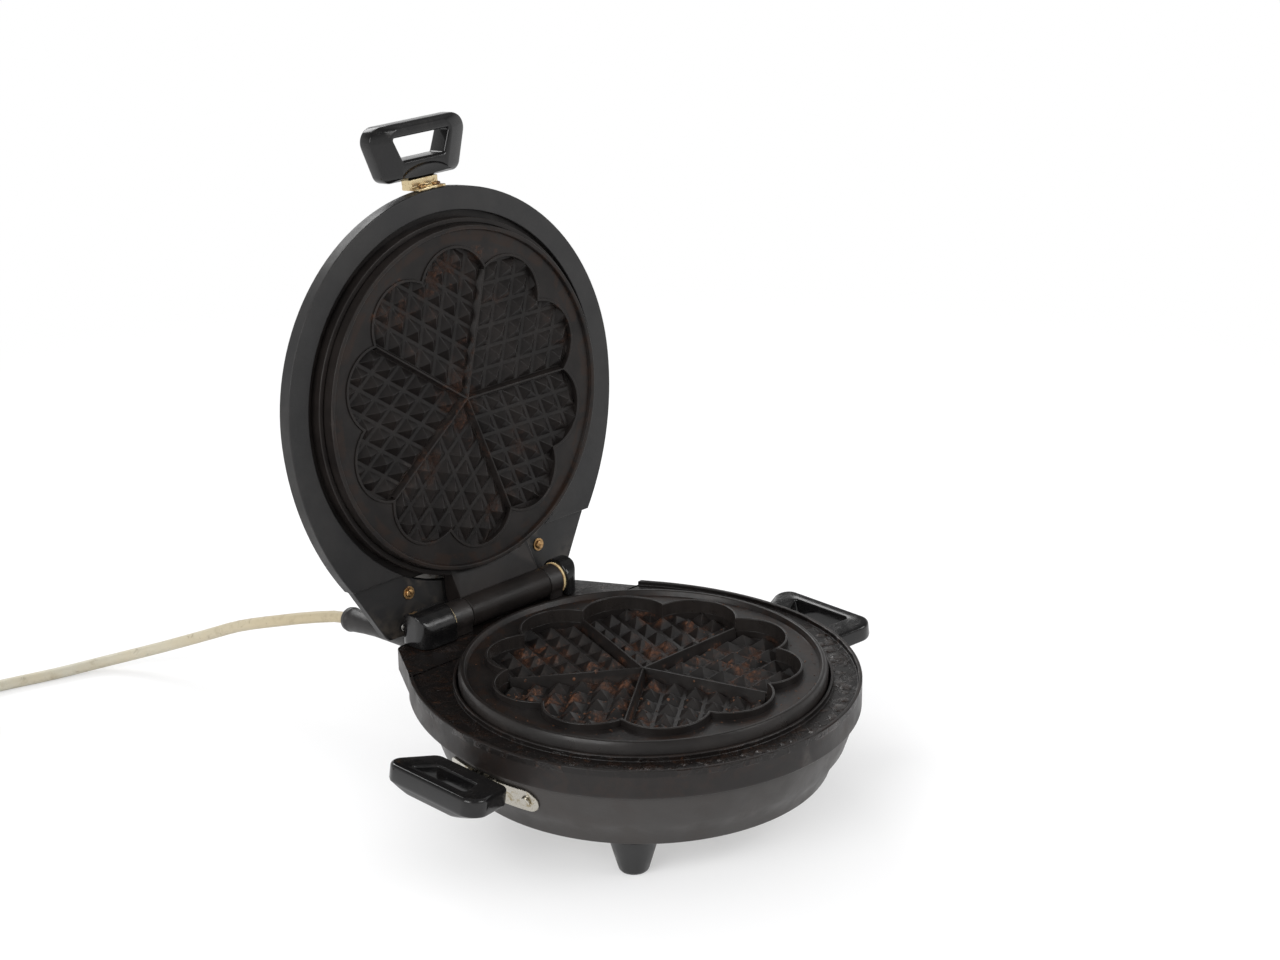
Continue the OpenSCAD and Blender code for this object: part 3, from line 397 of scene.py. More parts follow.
def casingPaint():
    p = Paint("castCasing", IOR=1.4)
    z = p.axis("Z")
    patches = p.ease(p.noise(22, 4, 0.6, warp=0.4), 0.42, 0.66)
    specks = p.ease(p.noise(3.2, 4, 0.7), 0.55, 0.72)
    tray = p.ease(z, 55.6, 56.4) * p.ease(z, 58.95, 58.5)
    upper = p.ease(z, 44.5, 47.5)
    burnt = p.ease(p.noise(9, 5, 0.65, warp=0.8), 0.46, 0.62)
    # edge lightens outer edges unevenly: rubbed wear, and a painted highlight along the edges
    edge = p.edgeWearAndHighlight(0.53, 0.6) * p.ease(p.noise(4, 3), 0.3, 0.6)
    colour = p.blend(upper, (0.038, 0.035, 0.0333), (0.0085, 0.0066, 0.006))
    colour = p.blend(patches * 0.45, colour, p.blend(upper, (0.034, 0.028, 0.025), (0.017, 0.0125, 0.011)))
    colour = p.blend(upper * burnt * 0.35, colour, (0.021, 0.0105, 0.007))
    colour = p.blend(tray * (1 - burnt * 0.5), colour, (0.0045, 0.003, 0.0025))
    colour = p.blend(tray * specks * burnt, colour, (0.045, 0.019, 0.009))
    # painted edge highlight and edge wear: the outer edges turn lighter
    colour = p.blend(edge * 0.7, colour, (0.055, 0.047, 0.041))
    spots = p.ease(p.cells(13, p.place), 0.055, 0.02) * specks
    colour = p.blend(spots * 0.6, colour, (0.12, 0.045, 0.02))
    rough = p.ease(p.noise(14, 4, 0.6), 0.3, 0.7, 0.38, 0.52) - tray * burnt * 0.16 - edge * 0.06
    return p.coat(colour, rough, [(p.noise(6, 3), 0.05), (tray * burnt, 0.25),
                                  (p.noise(0.55, 3, 0.6), 0.022), (specks, 0.03)])


def lidPaint():
    p = Paint("castLid", IOR=1.44)
    at = closedLid(p)
    patches = p.ease(p.noise(28, 4, 0.6), 0.4, 0.66)
    dust = p.ease(p.noise(1.3, 4, 0.7), 0.56, 0.75)
    outside = p.ease(p.axis("Z", at), 80, 84)
    # edge lightens outer edges unevenly: rubbed wear, and a painted highlight along the edges
    edge = p.edgeWearAndHighlight(0.53, 0.6) * p.ease(p.noise(5, 3), 0.35, 0.6)
    colour = p.blend(patches, (0.0105, 0.0102, 0.0106), (0.0155, 0.0145, 0.0142))
    colour = p.blend(dust * 0.3, colour, (0.03, 0.027, 0.025))
    colour = p.blend(outside * patches * 0.5, colour, (0.024, 0.017, 0.013))
    # painted edge highlight and edge wear: the outer edges turn lighter
    colour = p.blend(edge * 0.8, colour, (0.075, 0.062, 0.05))
    rough = p.ease(p.noise(12, 4, 0.6), 0.3, 0.7, 0.43, 0.55) - edge * 0.08
    return p.coat(colour, rough, [(p.noise(9, 3), 0.06), (p.noise(0.7, 3, 0.6), 0.035)])


def platePaint(name, onLid):
    p = Paint(name, IOR=1.28 if onLid else 1.38)
    at = closedLid(p) if onLid else p.place
    z = p.axis("Z", at)
    reach = p.radius((0, discShift), at)
    floor = 68.5 if onLid else 55.3
    sign = -1 if onLid else 1
    depth = (z - floor) * sign
    well = p.ease(depth, 3.6, 2.2) * p.ease(reach, 71, 69)
    bottom = p.ease(depth, 1.6, 0.2) * p.ease(reach, 71, 69)
    crust = p.ease(p.noise(7.5, 5, 0.62, warp=0.6), 0.44, 0.58)
    fine = p.ease(p.noise(1.6, 5, 0.7), 0.42, 0.62)
    area = p.ease(p.noise(26, 3, 0.5), 0.47 if not onLid else 0.55, 0.62 if not onLid else 0.7)
    # edge marks ridge lips and outer edges, for a painted highlight and edge wear
    edge = p.edgeWearAndHighlight(0.515, 0.58)
    colour = p.blend(p.ease(p.noise(17, 4), 0.35, 0.65), (0.0085, 0.0072, 0.0068), (0.014, 0.0115, 0.0105))
    # painted highlight on the ridge lips and outer edges, together with edge wear
    colour = p.blend(edge * 0.55, colour, (0.034, 0.0285, 0.0255))
    rust = well * crust * area
    colour = p.blend(rust * (0.85 if not onLid else 0.35), colour,
                     p.blend(fine, (0.035, 0.013, 0.006), (0.15, 0.055, 0.022)))
    colour = p.blend(bottom * fine * 0.5, colour, (0.004, 0.0032, 0.003))
    rim = p.ease(reach, 71.5, 73) * p.ease(reach, 80, 78) * crust
    colour = p.blend(rim * 0.5, colour, (0.022, 0.011, 0.0065))
    rough = p.ease(p.noise(8, 4, 0.6), 0.3, 0.7, 0.28, 0.44) + rust * 0.2 - edge * 0.06
    return p.coat(colour, rough, [(p.noise(5, 3), 0.06), (rust * fine, 0.22), (p.noise(0.6, 3, 0.6), 0.03)])


def bakelitePaint():
    p = Paint("bakelite", IOR=1.45)
    smear = p.ease(p.noise(11, 4, 0.6, warp=1.2), 0.45, 0.7)
    scratch = p.ease(p.noise(1, 2, 0.5, at=p.node("VectorMath", {"operation": "MULTIPLY"},
                                                  {0: p.place, 1: (0.12, 2.6, 2.6)})), 0.62, 0.7)
    colour = p.blend(smear, (0.0052, 0.005, 0.0052), (0.0085, 0.0078, 0.0075))
    colour = p.blend(scratch * 0.3, colour, (0.02, 0.018, 0.017))
    rough = p.ease(p.noise(6, 4), 0.3, 0.7, 0.1, 0.17) + smear * 0.1 + scratch * 0.12
    return p.coat(colour, rough, [(p.noise(4, 2), 0.02), (p.noise(0.4, 2), 0.003)])


def metalPaint(name, clean, tarnish, amount, roughness, grain=0.01):
    p = Paint(name)
    stain = p.ease(p.noise(3.4, 5, 0.65, warp=0.7), 0.62 - amount * 0.3, 0.75 - amount * 0.3)
    pits = p.ease(p.noise(0.5, 3, 0.7), 0.58, 0.7)
    colour = p.blend(stain, clean, tarnish)
    colour = p.blend(pits * 0.12, colour, tuple(0.5 * c for c in tarnish))
    rough = p.ease(p.noise(1.8, 4), 0.3, 0.7, roughness - 0.06, roughness + 0.08) + stain * 0.15
    return p.coat(colour, rough, [(p.noise(0.35, 3), grain * 0.3), (pits, grain * 0.3)],
                  metallic=1 - stain * 0.25)


def plainPaint(name, light, dark, size, roughness, grain, **shaderSockets):
    p = Paint(name, **shaderSockets)
    cloud = p.ease(p.noise(size, 4, 0.6), 0.35, 0.65)
    dust = p.ease(p.noise(size * 0.12, 4, 0.7), 0.56, 0.72)
    colour = p.blend(cloud, dark, light)
    colour = p.blend(dust * 0.35, colour, tuple(min(1, 1.8 * c + 0.01) for c in light))
    rough = p.ease(p.noise(size * 0.5, 4), 0.3, 0.7, roughness - 0.07, roughness + 0.07) + dust * 0.06
    return p.coat(colour, rough, [(p.noise(size * 0.4, 3), grain * 3), (p.noise(0.45, 3), grain)])


def ringPaint():
    p = Paint("fibreRing")
    reach = p.node("VectorMath", {"operation": "LENGTH"}, {0: p.node(
        "VectorMath", {"operation": "MULTIPLY_ADD"},
        {0: p.place, 1: (0, 1, 1), 2: (0, -hinge["y"], -hinge["z"])})}, "Value")
    outer = p.ease(reach + p.noise(1.5, 3) * 1.2, 7.5, 8.2)
    stain = p.ease(p.noise(2.2, 4, 0.6), 0.42, 0.65)
    colour = p.blend(outer, (0.42, 0.13, 0.02), (0.72, 0.56, 0.3))
    colour = p.blend(stain * 0.5, colour, (0.2, 0.07, 0.02))
    return p.coat(colour, p.ease(stain, 0, 1, 0.45, 0.6), [(p.noise(0.4, 3), 0.02)])


def residuePaint(name, dark, light, roughness):
    p = Paint(name, IOR=1.48)
    tone = p.ease(p.noise(2.6, 4, 0.6), 0.36, 0.64)
    fine = p.ease(p.noise(0.5, 3, 0.6), 0.4, 0.7)
    colour = p.blend(fine * 0.4, p.blend(tone, dark, light), tuple(0.4 * c for c in dark))
    rough = p.ease(p.noise(1.5, 3), 0.3, 0.7, roughness - 0.08, roughness + 0.1)
    return p.coat(colour, rough, [(p.noise(0.3, 3), 0.02)])


def cordPaint():
    p = Paint("mainsCord", IOR=1.46)
    along = p.ease(p.axis("Y"), 130, 330)
    aged = p.ease(p.noise(30, 4, 0.6), 0.35, 0.65)
    marks = p.ease(p.noise(4.5, 5, 0.7, warp=1.0), 0.58, 0.7)
    grime = p.ease(p.noise(9, 5, 0.7, warp=0.5), 0.5, 0.68)
    colour = p.blend(along, (0.44, 0.375, 0.25), (0.5, 0.485, 0.41))
    colour = p.blend(aged * 0.5, colour, (0.44, 0.37, 0.24))
    colour = p.blend(grime * 0.5, colour, (0.3, 0.245, 0.16))
    colour = p.blend(marks * 0.6, colour, (0.13, 0.095, 0.06))
    rough = p.ease(p.noise(6, 4), 0.3, 0.7, 0.42, 0.6)
    return p.coat(colour, rough, [(p.noise(7, 2), 0.12), (p.noise(0.6, 3), 0.02)])


paints = dict(
    casing=casingPaint(), lid=lidPaint(), lowerPlate=platePaint("lowerPlate", False),
    upperPlate=platePaint("upperPlate", True), bakelite=bakelitePaint(), ring=ringPaint(), cord=cordPaint(),
    crumbs=residuePaint("crumbs", (0.022, 0.009, 0.005), (0.13, 0.05, 0.018), 0.62),
    tar=residuePaint("burntFat", (0.005, 0.0032, 0.0025), (0.016, 0.008, 0.005), 0.3),
    nickel=metalPaint("nickel", (0.5, 0.475, 0.42), (0.3, 0.24, 0.13), 0.35, 0.24),
    brassBracket=metalPaint("brassBracket", (0.66, 0.54, 0.33), (0.3, 0.2, 0.09), 0.4, 0.3),
    brass=metalPaint("brassScrew", (0.5, 0.31, 0.14), (0.12, 0.06, 0.03), 0.45, 0.34),
    steel=metalPaint("zincSteel", (0.42, 0.41, 0.39), (0.17, 0.14, 0.11), 0.3, 0.36),
    element=metalPaint("heatingElement", (0.1, 0.095, 0.09), (0.06, 0.035, 0.025), 0.5, 0.5),
    ceramic=plainPaint("ceramic", (0.68, 0.63, 0.52), (0.5, 0.44, 0.34), 6, 0.45, 0.01),
    hingeIron=plainPaint("hingeIron", (0.016, 0.0125, 0.011), (0.0085, 0.007, 0.0065), 9, 0.42, 0.012),
    feet=plainPaint("footPlastic", (0.012, 0.0118, 0.012), (0.008, 0.0078, 0.008), 8, 0.36, 0.008),
    relief=plainPaint("reliefRubber", (0.017, 0.0155, 0.015), (0.01, 0.0092, 0.009), 7, 0.46, 0.015),
    plug=plainPaint("plugRubber", (0.014, 0.0135, 0.013), (0.009, 0.0085, 0.0085), 8, 0.42, 0.012))
print("materials mixed")


# Screws and rivets: one head is modelled, then copied to each place
def screwHead(radius, height, slot, depth, shank, shankRadius):
    # a low dome with a slot, standing on z = 0 with its shank below; without a slot it is a rivet
    bpy.ops.mesh.primitive_cylinder_add(vertices=40, radius=radius * mm, depth=height * mm,
                                        location=(0, 0, height / 2 * mm))
    head = bpy.context.active_object
    settled(head)
    pickFaces(head, lambda place, normal: normal.z > 0.9)
    only(head)
    bpy.ops.object.mode_set(mode="EDIT")
    for inset, rise in ((0.3, 0.16), (0.3, 0.1), (0.25, 0.04)):
        bpy.ops.mesh.inset(thickness=inset * radius * mm)
        bpy.ops.transform.translate(value=(0, 0, rise * height * mm))
    bpy.ops.object.mode_set(mode="OBJECT")
    modified(head, "BEVEL", width=0.2 * radius * mm, segments=4, limit_method="ANGLE",
             angle_limit=math.radians(40))
    if slot:
        bpy.ops.mesh.primitive_cube_add(size=1, location=(0, 0, 1.3 * height * mm))
        cutter = bpy.context.active_object
        cutter.scale = (2.6 * radius * mm, slot * mm, 2 * depth * mm)
        settled(cutter)
        modified(head, "BOOLEAN", operation="DIFFERENCE", object=cutter, solver="EXACT")
        bpy.data.objects.remove(cutter)
    bpy.ops.mesh.primitive_cylinder_add(vertices=20, radius=shankRadius * mm, depth=shank * mm,
                                        location=(0, 0, (0.2 - shank / 2) * mm))
    stem = bpy.context.active_object
    settled(stem)
    modified(stem, "BEVEL", width=0.2 * mm, segments=2, limit_method="ANGLE", angle_limit=math.radians(40))
    return joined("head", [head, stem])


def setOut(name, pattern, seats):
    # copies of a pattern at each (place, direction, turn in degrees)
    twins = []
    for place, direction, spin in seats:
        twin = copied(pattern)
        placed(twin, Matrix.Translation(place * mm)
               @ Vector(direction).to_track_quat("Z", "X").to_matrix().to_4x4()
               @ Matrix.Rotation(math.radians(spin), 4, "Z"))
        twins.append(twin)
    bpy.data.objects.remove(pattern)
    return joined(name, twins)


# A loop handle, lofted in rings: soft edges above, sloping ends below, and a scoop by its stem. Sides come in the
# order left end, outer side, right end and stem.
loop = dict(reach=102, depth=26, width=61, stemWidth=44, thickness=11, corners=(5, 7, 7, 5), tilt=10,
            sideHeight=42.15, lidHeight=82.55, softness=1.7, slope=(9, 1.6, 9, 1.6), slopeDepth=2.6,
            slopeStart=0.9, slopeSteps=(0.03, 0.1, 0.3, 0.65, 0.9, 0.98, 1), sideBand=1.6, arcSteps=12,
            sideSteps=8, creaseWidth=0.35)
finger = dict(start=9.5, depth=10.5, width=33, stemWidth=24, corner=0.9, lowSoftness=1.5, topSoftness=1.1)
scoop = dict(x=-0.5, below=1.2, size=(8, 16.5, 3.4))


def roundOutline(corners, radii, inset):
    # a four-sided outline, counter-clockwise, each side moved inwards by its own inset
    sides = []
    for i in range(4):
        a, b = Vector(corners[i]), Vector(corners[(i + 1) % 4])
        along = (b - a).normalized()
        sides.append((a + inset[i] * Vector((-along.y, along.x)), along))
    arcs = []
    for i in range(4):
        (p, u), (q, v) = sides[i - 1], sides[i]
        tip = p + u * (((q - p).x * v.y - (q - p).y * v.x) / (u.x * v.y - u.y * v.x))
        radius = max(0.8, radii[i] - min(inset[i - 1], inset[i]))
        half = math.acos(max(-1, min(1, u.dot(v)))) / 2
        middle = tip + (v - u).normalized() * (radius / math.cos(half))
        start = math.atan2(-u.x, u.y)
        turns = [start + 2 * half * j / loop["arcSteps"] for j in range(loop["arcSteps"] + 1)]
        arcs.append([middle + radius * Vector((math.cos(turn), math.sin(turn))) for turn in turns])
    outline = []
    for arc, following in zip(arcs, arcs[1:] + arcs[:1]):
        outline += arc + [arc[-1].lerp(following[0], j / loop["sideSteps"]) for j in range(1, loop["sideSteps"])]
    return outline


def quarter(steps):
    # (inset, rise) from the flat to the side of a round edge, as shares of its radius
    turns = [math.radians(90 * j / steps) for j in range(steps + 1)]
    return [(1 - math.sin(turn), math.cos(turn)) for turn in turns]


def outerRings(top):
    outline = [(0, -loop["stemWidth"] / 2), (loop["depth"], -loop["width"] / 2),
               (loop["depth"], loop["width"] / 2), (0, loop["stemWidth"] / 2)]
    soft, low, start = loop["softness"], loop["slopeDepth"] - top, loop["slopeStart"]
    rings = [([soft * inset] * 4, top - soft + soft * rise) for inset, rise in quarter(6)]
    rings.append(([0] * 4, low + loop["sideBand"]))
    for t in loop["slopeSteps"]:
        rings.append(([0.4 * min(1, 8 * t) + t * slope for slope in loop["slope"]],
                      low + start - (loop["slopeDepth"] + start) * t ** 0.7))
    return [(roundOutline(outline, loop["corners"], inset), z) for inset, z in rings]


def fingerRings(top):
    end = finger["start"] + finger["depth"]
    outline = [(finger["start"], -finger["stemWidth"] / 2), (end, -finger["width"] / 2),
               (end, finger["width"] / 2), (finger["start"], finger["stemWidth"] / 2)]
    low, high = finger["lowSoftness"], finger["topSoftness"]
    rings = [([-low * inset] * 4, low - top - low * rise) for inset, rise in quarter(5)]
    rings += [([-high * inset] * 4, top - high + high * rise) for inset, rise in reversed(quarter(4))]
    return [(roundOutline(outline, [finger["corner"]] * 4, inset), z) for inset, z in rings]


def loopHandle(name, seat):
    top = loop["thickness"] / 2
    shell = bmesh.new()
    rows = [[shell.verts.new((*(place * mm), z * mm)) for place in outline]
            for outline, z in outerRings(top) + fingerRings(top)]
    for a, b in zip(rows, rows[1:] + rows[:1]):
        for j in range(len(a)):
            k = (j + 1) % len(a)
            shell.faces.new((a[j], a[k], b[k], b[j]))
    bmesh.ops.recalc_face_normals(shell, faces=shell.faces)
    mesh = bpy.data.meshes.new(name)
    shell.to_mesh(mesh)
    shell.free()
    handle = bpy.data.objects.new(name, mesh)
    scene.collection.objects.link(handle)
    bpy.ops.mesh.primitive_ico_sphere_add(subdivisions=5, radius=mm,
                                          location=(scoop["x"] * mm, 0, (-top - scoop["below"]) * mm))
    cutter = bpy.context.active_object
    cutter.scale = scoop["size"]
    settled(cutter)
    modified(handle, "BOOLEAN", operation="DIFFERENCE", object=cutter, solver="EXACT")
    bpy.data.objects.remove(cutter)
    modified(handle, "BEVEL", width=loop["creaseWidth"] * mm, segments=2, limit_method="ANGLE",
             angle_limit=math.radians(40))
    placed(handle, Matrix.Scale(mm, 4) @ seat @ Matrix.Scale(1 / mm, 4))
    only(handle)
    bpy.ops.object.shade_smooth_by_angle(angle=math.radians(38))
    return handle


# Heights and reach that tell a plate's edges apart
plates = dict(ringReach=71.5, ringTop=60, ridgeTop=65, spokeTop=60.5)


def plateShare(place, direction, onLid=False):
    # the outer rings get the whole width, the heart ridges less and the pyramids least
    x, y, z = closed(place) if onLid else place
    if math.hypot(x, y - discShift) > plates["ringReach"]:
        return 1 if onLid or z > plates["ringTop"] else 0.8
    if onLid:
        return 0.4
    return 0.9 if z > plates["ridgeTop"] else 0.55 if z > plates["spokeTop"] else 0.4


# Base. A softened piece has its edges' width and segments here, and a moulded one its grain and rounds.
edges = dict(casing=(0.55, 3), lowerPlate=(0.5, 3, plateShare), knuckle=(0.5, 3), ring=(0.18, 2), foot=(0.7, 3),
             cover=(0.25, 2), relief=(0.5, 2), plug=(1.3, 4), pins=(0.5, 3))
moulds = dict(cap=(0.4, 14), strap=(0.25, 4), rivets=(0.12, 6), bracket=(0.3, 5))
casing = softened("casing", "base_bowl", *edges["casing"])
finished(casing, "base", paints["casing"], ["base_bowl"], angle=0)
lowerPlate = softened("lowerPlate", "lower_plate", *edges["lowerPlate"])
finished(lowerPlate, "base", paints["lowerPlate"], ["lower_plate"], angle=0)
for side, turn in (("Left", 180), ("Right", 0)):
    knuckle = softened("knuckle" + side, "knuckle_" + side.lower(), *edges["knuckle"])
    finished(knuckle, "base", paints["hingeIron"], ["knuckle_" + side.lower()], angle=0)
    ring = softened("hingeRing" + side, "hinge_ring_" + side.lower(), *edges["ring"])
    finished(ring, "base", paints["ring"], ["hinge_ring_" + side.lower()], angle=0)
    cap = moulded("hingeCap" + side, "hinge_cap_" + side.lower(), *moulds["cap"])
    finished(cap, "base", paints["bakelite"], ["hinge_cap_" + side.lower()], angle=0)
    seat = (Matrix.Translation((0, discShift, 0)) @ Matrix.Rotation(math.radians(turn), 4, "Z")
            @ Matrix.Translation((loop["reach"], 0, loop["sideHeight"]))
            @ Matrix.Rotation(math.radians(-loop["tilt"]), 4, "Y"))
    handle = loopHandle("sideHandle" + side, seat)
    finished(handle, "base", paints["bakelite"], ["side_handle_" + side.lower()], angle=0)
    strap = moulded("handleStrap" + side, "handle_strap_" + side.lower(), *moulds["strap"])
    finished(strap, "base", paints["nickel"], ["handle_strap_" + side.lower()], angle=0)
for corner in ("FrontLeft", "FrontRight", "RearLeft", "RearRight"):
    node = "foot_" + ("front" if "Front" in corner else "rear") + ("_left" if "Left" in corner else "_right")
    foot = softened("foot" + corner, node, *edges["foot"])
    finished(foot, "base", paints["feet"], [node], angle=0)
cover = softened("bottomCover", "bottom_cover", *edges["cover"])
finished(cover, "base", paints["steel"], ["bottom_cover"], angle=0)

# Rivets of the side straps, and the screws of caps and bottom cover
for side in ("left", "right"):
    rivets = moulded("strapRivets" + side.capitalize(), "strap_rivets_" + side, *moulds["rivets"])
    finished(rivets, "base", paints["nickel"], ["strap_rivets_" + side], angle=0)
capScrew = dict(y=107.4, z=62.6, places=((-46.8, 25), (43.5, 70)))
capScrews = setOut("capScrews", screwHead(1.8, 0.8, 0.45, 0.5, 3.5, 1), [
    (inBase(x, capScrew["y"], capScrew["z"]), (0, 1, 0), spin) for x, spin in capScrew["places"]])
finished(capScrews, "base", paints["steel"], ["cap_screws"])
coverScrew = dict(reach=78.4, z=18)
coverScrews = setOut("coverScrews", screwHead(2.2, 0.9, 0.55, 0.6, 4.2, 1.1), [
    (around(turn, coverScrew["reach"], coverScrew["z"]), (0, 0, -1), turn * 0.7 + 20)
    for turn in (0, 90, 180, 270)])
finished(coverScrews, "base", paints["steel"], ["cover_screws"])
print("base dressed")


# Baked-on residue: crumbs in the wells, grains in the tray and low drops of burnt fat
residue = dict(seed=11, hearts=[(-28, -2, 12), (5, -48, 15), (-50, -25, 12), (42, -8, 14), (-42, 26, 12)],
               crumbs=330, trayGrains=900, plateGrains=260, drops=90)
luck = random.Random(residue["seed"])


def lump(mesh, place, normal, size, flat, detail):
    # an uneven lump that sinks a little into the surface under it
    lie = Vector(normal).to_track_quat("Z", "X").to_matrix().to_4x4()
    spin = Matrix.Rotation(luck.uniform(0, 6.28), 4, "Z")
    stretch = Matrix.Diagonal((size * luck.uniform(0.7, 1.3), size * luck.uniform(0.7, 1.3), size * flat, 1))
    made = bmesh.ops.create_icosphere(mesh, subdivisions=detail, radius=1)["verts"]
    for corner in made:
        corner.co *= luck.uniform(0.78, 1.15)
    bmesh.ops.transform(mesh, verts=made, matrix=Matrix.Translation(place) @ lie @ spin @ stretch)


def sprinkled(name, target, spots, flat, detail):
    # spots are (x, y, size) from the plates' centre, dropped onto a piece from above
    ground = BVHTree.FromObject(target, bpy.context.evaluated_depsgraph_get())
    mesh = bmesh.new()
    for x, y, size in spots:
        hit, normal, face, reach = ground.ray_cast(inBase(x, y, 90) * mm, Vector((0, 0, -1)))
        if hit and normal.z > 0.2:
            lump(mesh, hit, normal, size * mm, flat, detail)
    data = bpy.data.meshes.new(name)
    mesh.to_mesh(data)
    mesh.free()
    piece = bpy.data.objects.new(name, data)
    scene.collection.objects.link(piece)
    return piece


def ringSpots(count, near, far, small, large, front):
    # front says how much more lies in front than at the hinge
    spots = []
    while len(spots) < count:
        angle, reach = luck.uniform(0, 2 * math.pi), luck.uniform(near, far)
        if luck.random() < 1 - front * (1 + math.sin(angle)) / 2:
            spots.append((reach * math.cos(angle), reach * math.sin(angle), luck.uniform(small, large) ** 1.5))
    return spots


crumbSpots = []
for i in range(residue["crumbs"]):
    x, y, spread = residue["hearts"][i % len(residue["hearts"])]
    crumbSpots.append((luck.gauss(x, spread), luck.gauss(y, spread), luck.uniform(0.25, 0.85) ** 1.4))
crumbSpots = [spot for spot in crumbSpots if math.hypot(spot[0], spot[1]) < 67]
crumbs = sprinkled("crumbs", lowerPlate, crumbSpots, 0.5, 2)
finished(crumbs, "base", paints["crumbs"], angle=50)
grains = sprinkled("plateGrains", lowerPlate, ringSpots(residue["plateGrains"], 66, 79, 0.15, 0.6, 0.7), 0.6, 1)
finished(grains, "base", paints["crumbs"], angle=50)
grains = sprinkled("trayGrains", casing, ringSpots(residue["trayGrains"], 85, 95, 0.12, 0.55, 0.9), 0.7, 1)
finished(grains, "base", paints["tar"], angle=50)
drops = sprinkled("fatDrops", casing, ringSpots(residue["drops"], 85.5, 93, 0.9, 2.2, 0.85), 0.09, 3)
finished(drops, "base", paints["tar"], angle=60)
print("residue laid")


# Lid
earScrew = dict(x=40.8, y=83.5, z=74.3, seat=6)
bracketScrew = dict(x=4, y=-98.5, z=75.8)


def lidShare(place, direction):
    # the seats of the ear screws stay sharp
    x, y, z = closed(place)
    return 0 if math.hypot(abs(x) - earScrew["x"], y - earScrew["y"] - discShift) < earScrew["seat"] else 1


lidEdges = dict(shell=(0.6, 3), plate=(0.5, 3), washer=(0.12, 2))
lidShell = softened("lidShell", "lid_shell", *lidEdges["shell"], share=lidShare)
finished(lidShell, "lid", paints["lid"], ["lid_shell"], angle=0)
upperPlate = softened("upperPlate", "upper_plate", *lidEdges["plate"],
                      share=lambda place, direction: plateShare(place, direction, True))
finished(upperPlate, "lid", paints["upperPlate"], ["upper_plate"], angle=0)
opened = (Matrix.Translation((0, hinge["y"], hinge["z"]))
          @ Matrix.Rotation(math.radians(-hinge["openAngle"]), 4, "X")
          @ Matrix.Translation((0, -hinge["y"], -hinge["z"])))
lidHandle = loopHandle("lidHandle", opened @ Matrix.Translation((0, discShift, 0))
                       @ Matrix.Rotation(math.radians(-90), 4, "Z")
                       @ Matrix.Translation((loop["reach"], 0, loop["lidHeight"])))
finished(lidHandle, "lid", paints["bakelite"], ["lid_handle"], angle=0)
bracket = moulded("lidHandleBracket", "lid_handle_bracket", *moulds["bracket"])
finished(bracket, "lid", paints["brassBracket"], ["lid_handle_bracket"], angle=0)
washers = softened("earWashers", "ear_washers", *lidEdges["washer"])
finished(washers, "lid", paints["brass"], ["ear_washers"], angle=0)

earScrews = setOut("earScrews", screwHead(2.0, 0.9, 0.55, 0.6, 3.5, 1.2), [
    (inLid(side * earScrew["x"], earScrew["y"], earScrew["z"]), lidDirection(0, 0, -1), spin)
    for side, spin in ((-1, 35), (1, 80))])
finished(earScrews, "lid", paints["brass"], ["ear_screws"])
bracketScrews = setOut("lidHandleScrews", screwHead(2.0, 0.9, 0.55, 0.6, 2.8, 1.1), [
    (inLid(side * bracketScrew["x"], bracketScrew["y"], bracketScrew["z"]), lidDirection(0, -1, 0), spin)
    for side, spin in ((-1, 20), (1, 65))])
finished(bracketScrews, "lid", paints["brass"], ["lid_handle_screws"])
print("lid dressed")

# Cord: the relief and plug go with it
relief = softened("strainRelief", "strain_relief", *edges["relief"])
finished(relief, "base", paints["relief"], ["strain_relief"], angle=0)
plugBody = softened("plugBody", "plug_body", *edges["plug"])
finished(plugBody, "base", paints["plug"], ["plug_body"], angle=0)
plugPins = softened("plugPins", "plug_pins", *edges["pins"])
finished(plugPins, "base", paints["brass"], ["plug_pins"], angle=0)
mainsCord.data.materials.append(paints["cord"])
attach(mainsCord, "base")
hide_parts("cord_stretch", "cord_coil")

# What stays as the CAD has it gets its finish
plain = {"lower_plate_screws": "steel", "upper_plate_screws": "steel", "lower_element": "element",
         "upper_element": "element", "lower_reflector": "steel", "upper_reflector": "steel",
         "terminal_block": "ceramic", "foot_screws": "steel", "hinge_pin": "steel"}
for node, finish in plain.items():
    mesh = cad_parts[node].data
    mesh.materials.clear()
    mesh.materials.append(paints[finish])
print("cord and small parts dressed")


# Studio: a pale floor, a soft world and three soft boxes
def softBox(name, place, aim, width, height, power):
    light = bpy.data.lights.new(name, "AREA")
    light.shape = "RECTANGLE"
    light.size, light.size_y, light.energy = width, height, power
    lamp = bpy.data.objects.new(name, light)
    scene.collection.objects.link(lamp)
    lamp.location = place
    lamp.rotation_mode = "QUATERNION"
    lamp.rotation_quaternion = (Vector(aim) - Vector(place)).to_track_quat("-Z", "Y")


studio = dict(
    left=dict(place=(-1.5, -0.2, 0.95), aim=(0, 0, 0.1), width=1.1, height=0.9, power=15),
    back=dict(place=(0.5, 1.5, 1.3), aim=(0, 0, 0.1), width=1.3, height=0.8, power=17),
    right=dict(place=(0.75, -1.35, 1.15), aim=(0, 0, 0.05), width=0.9, height=0.7, power=10),
    horizon=0.9, overhead=0.86, horizonGloss=0.8, overheadGloss=0.24,
    floorColour=(0.88, 0.88, 0.885), floorNear=0.15, floorFar=0.8, floorLift=0.42)
for name in ("left", "back", "right"):
    softBox(name + "SoftBox", **studio[name])

def linked(tree, kind, sockets, output=0, **settings):
    # adds a node to a tree, its settings first, and gives one of its outputs
    made = tree.nodes.new("ShaderNode" + kind)
    for key, value in settings.items():
        setattr(made, key, value)
    for key, value in sockets.items():
        if isinstance(value, bpy.types.NodeSocket):
            tree.links.new(value, made.inputs[key])
        else:
            made.inputs[key].default_value = value
    return made.outputs[output]


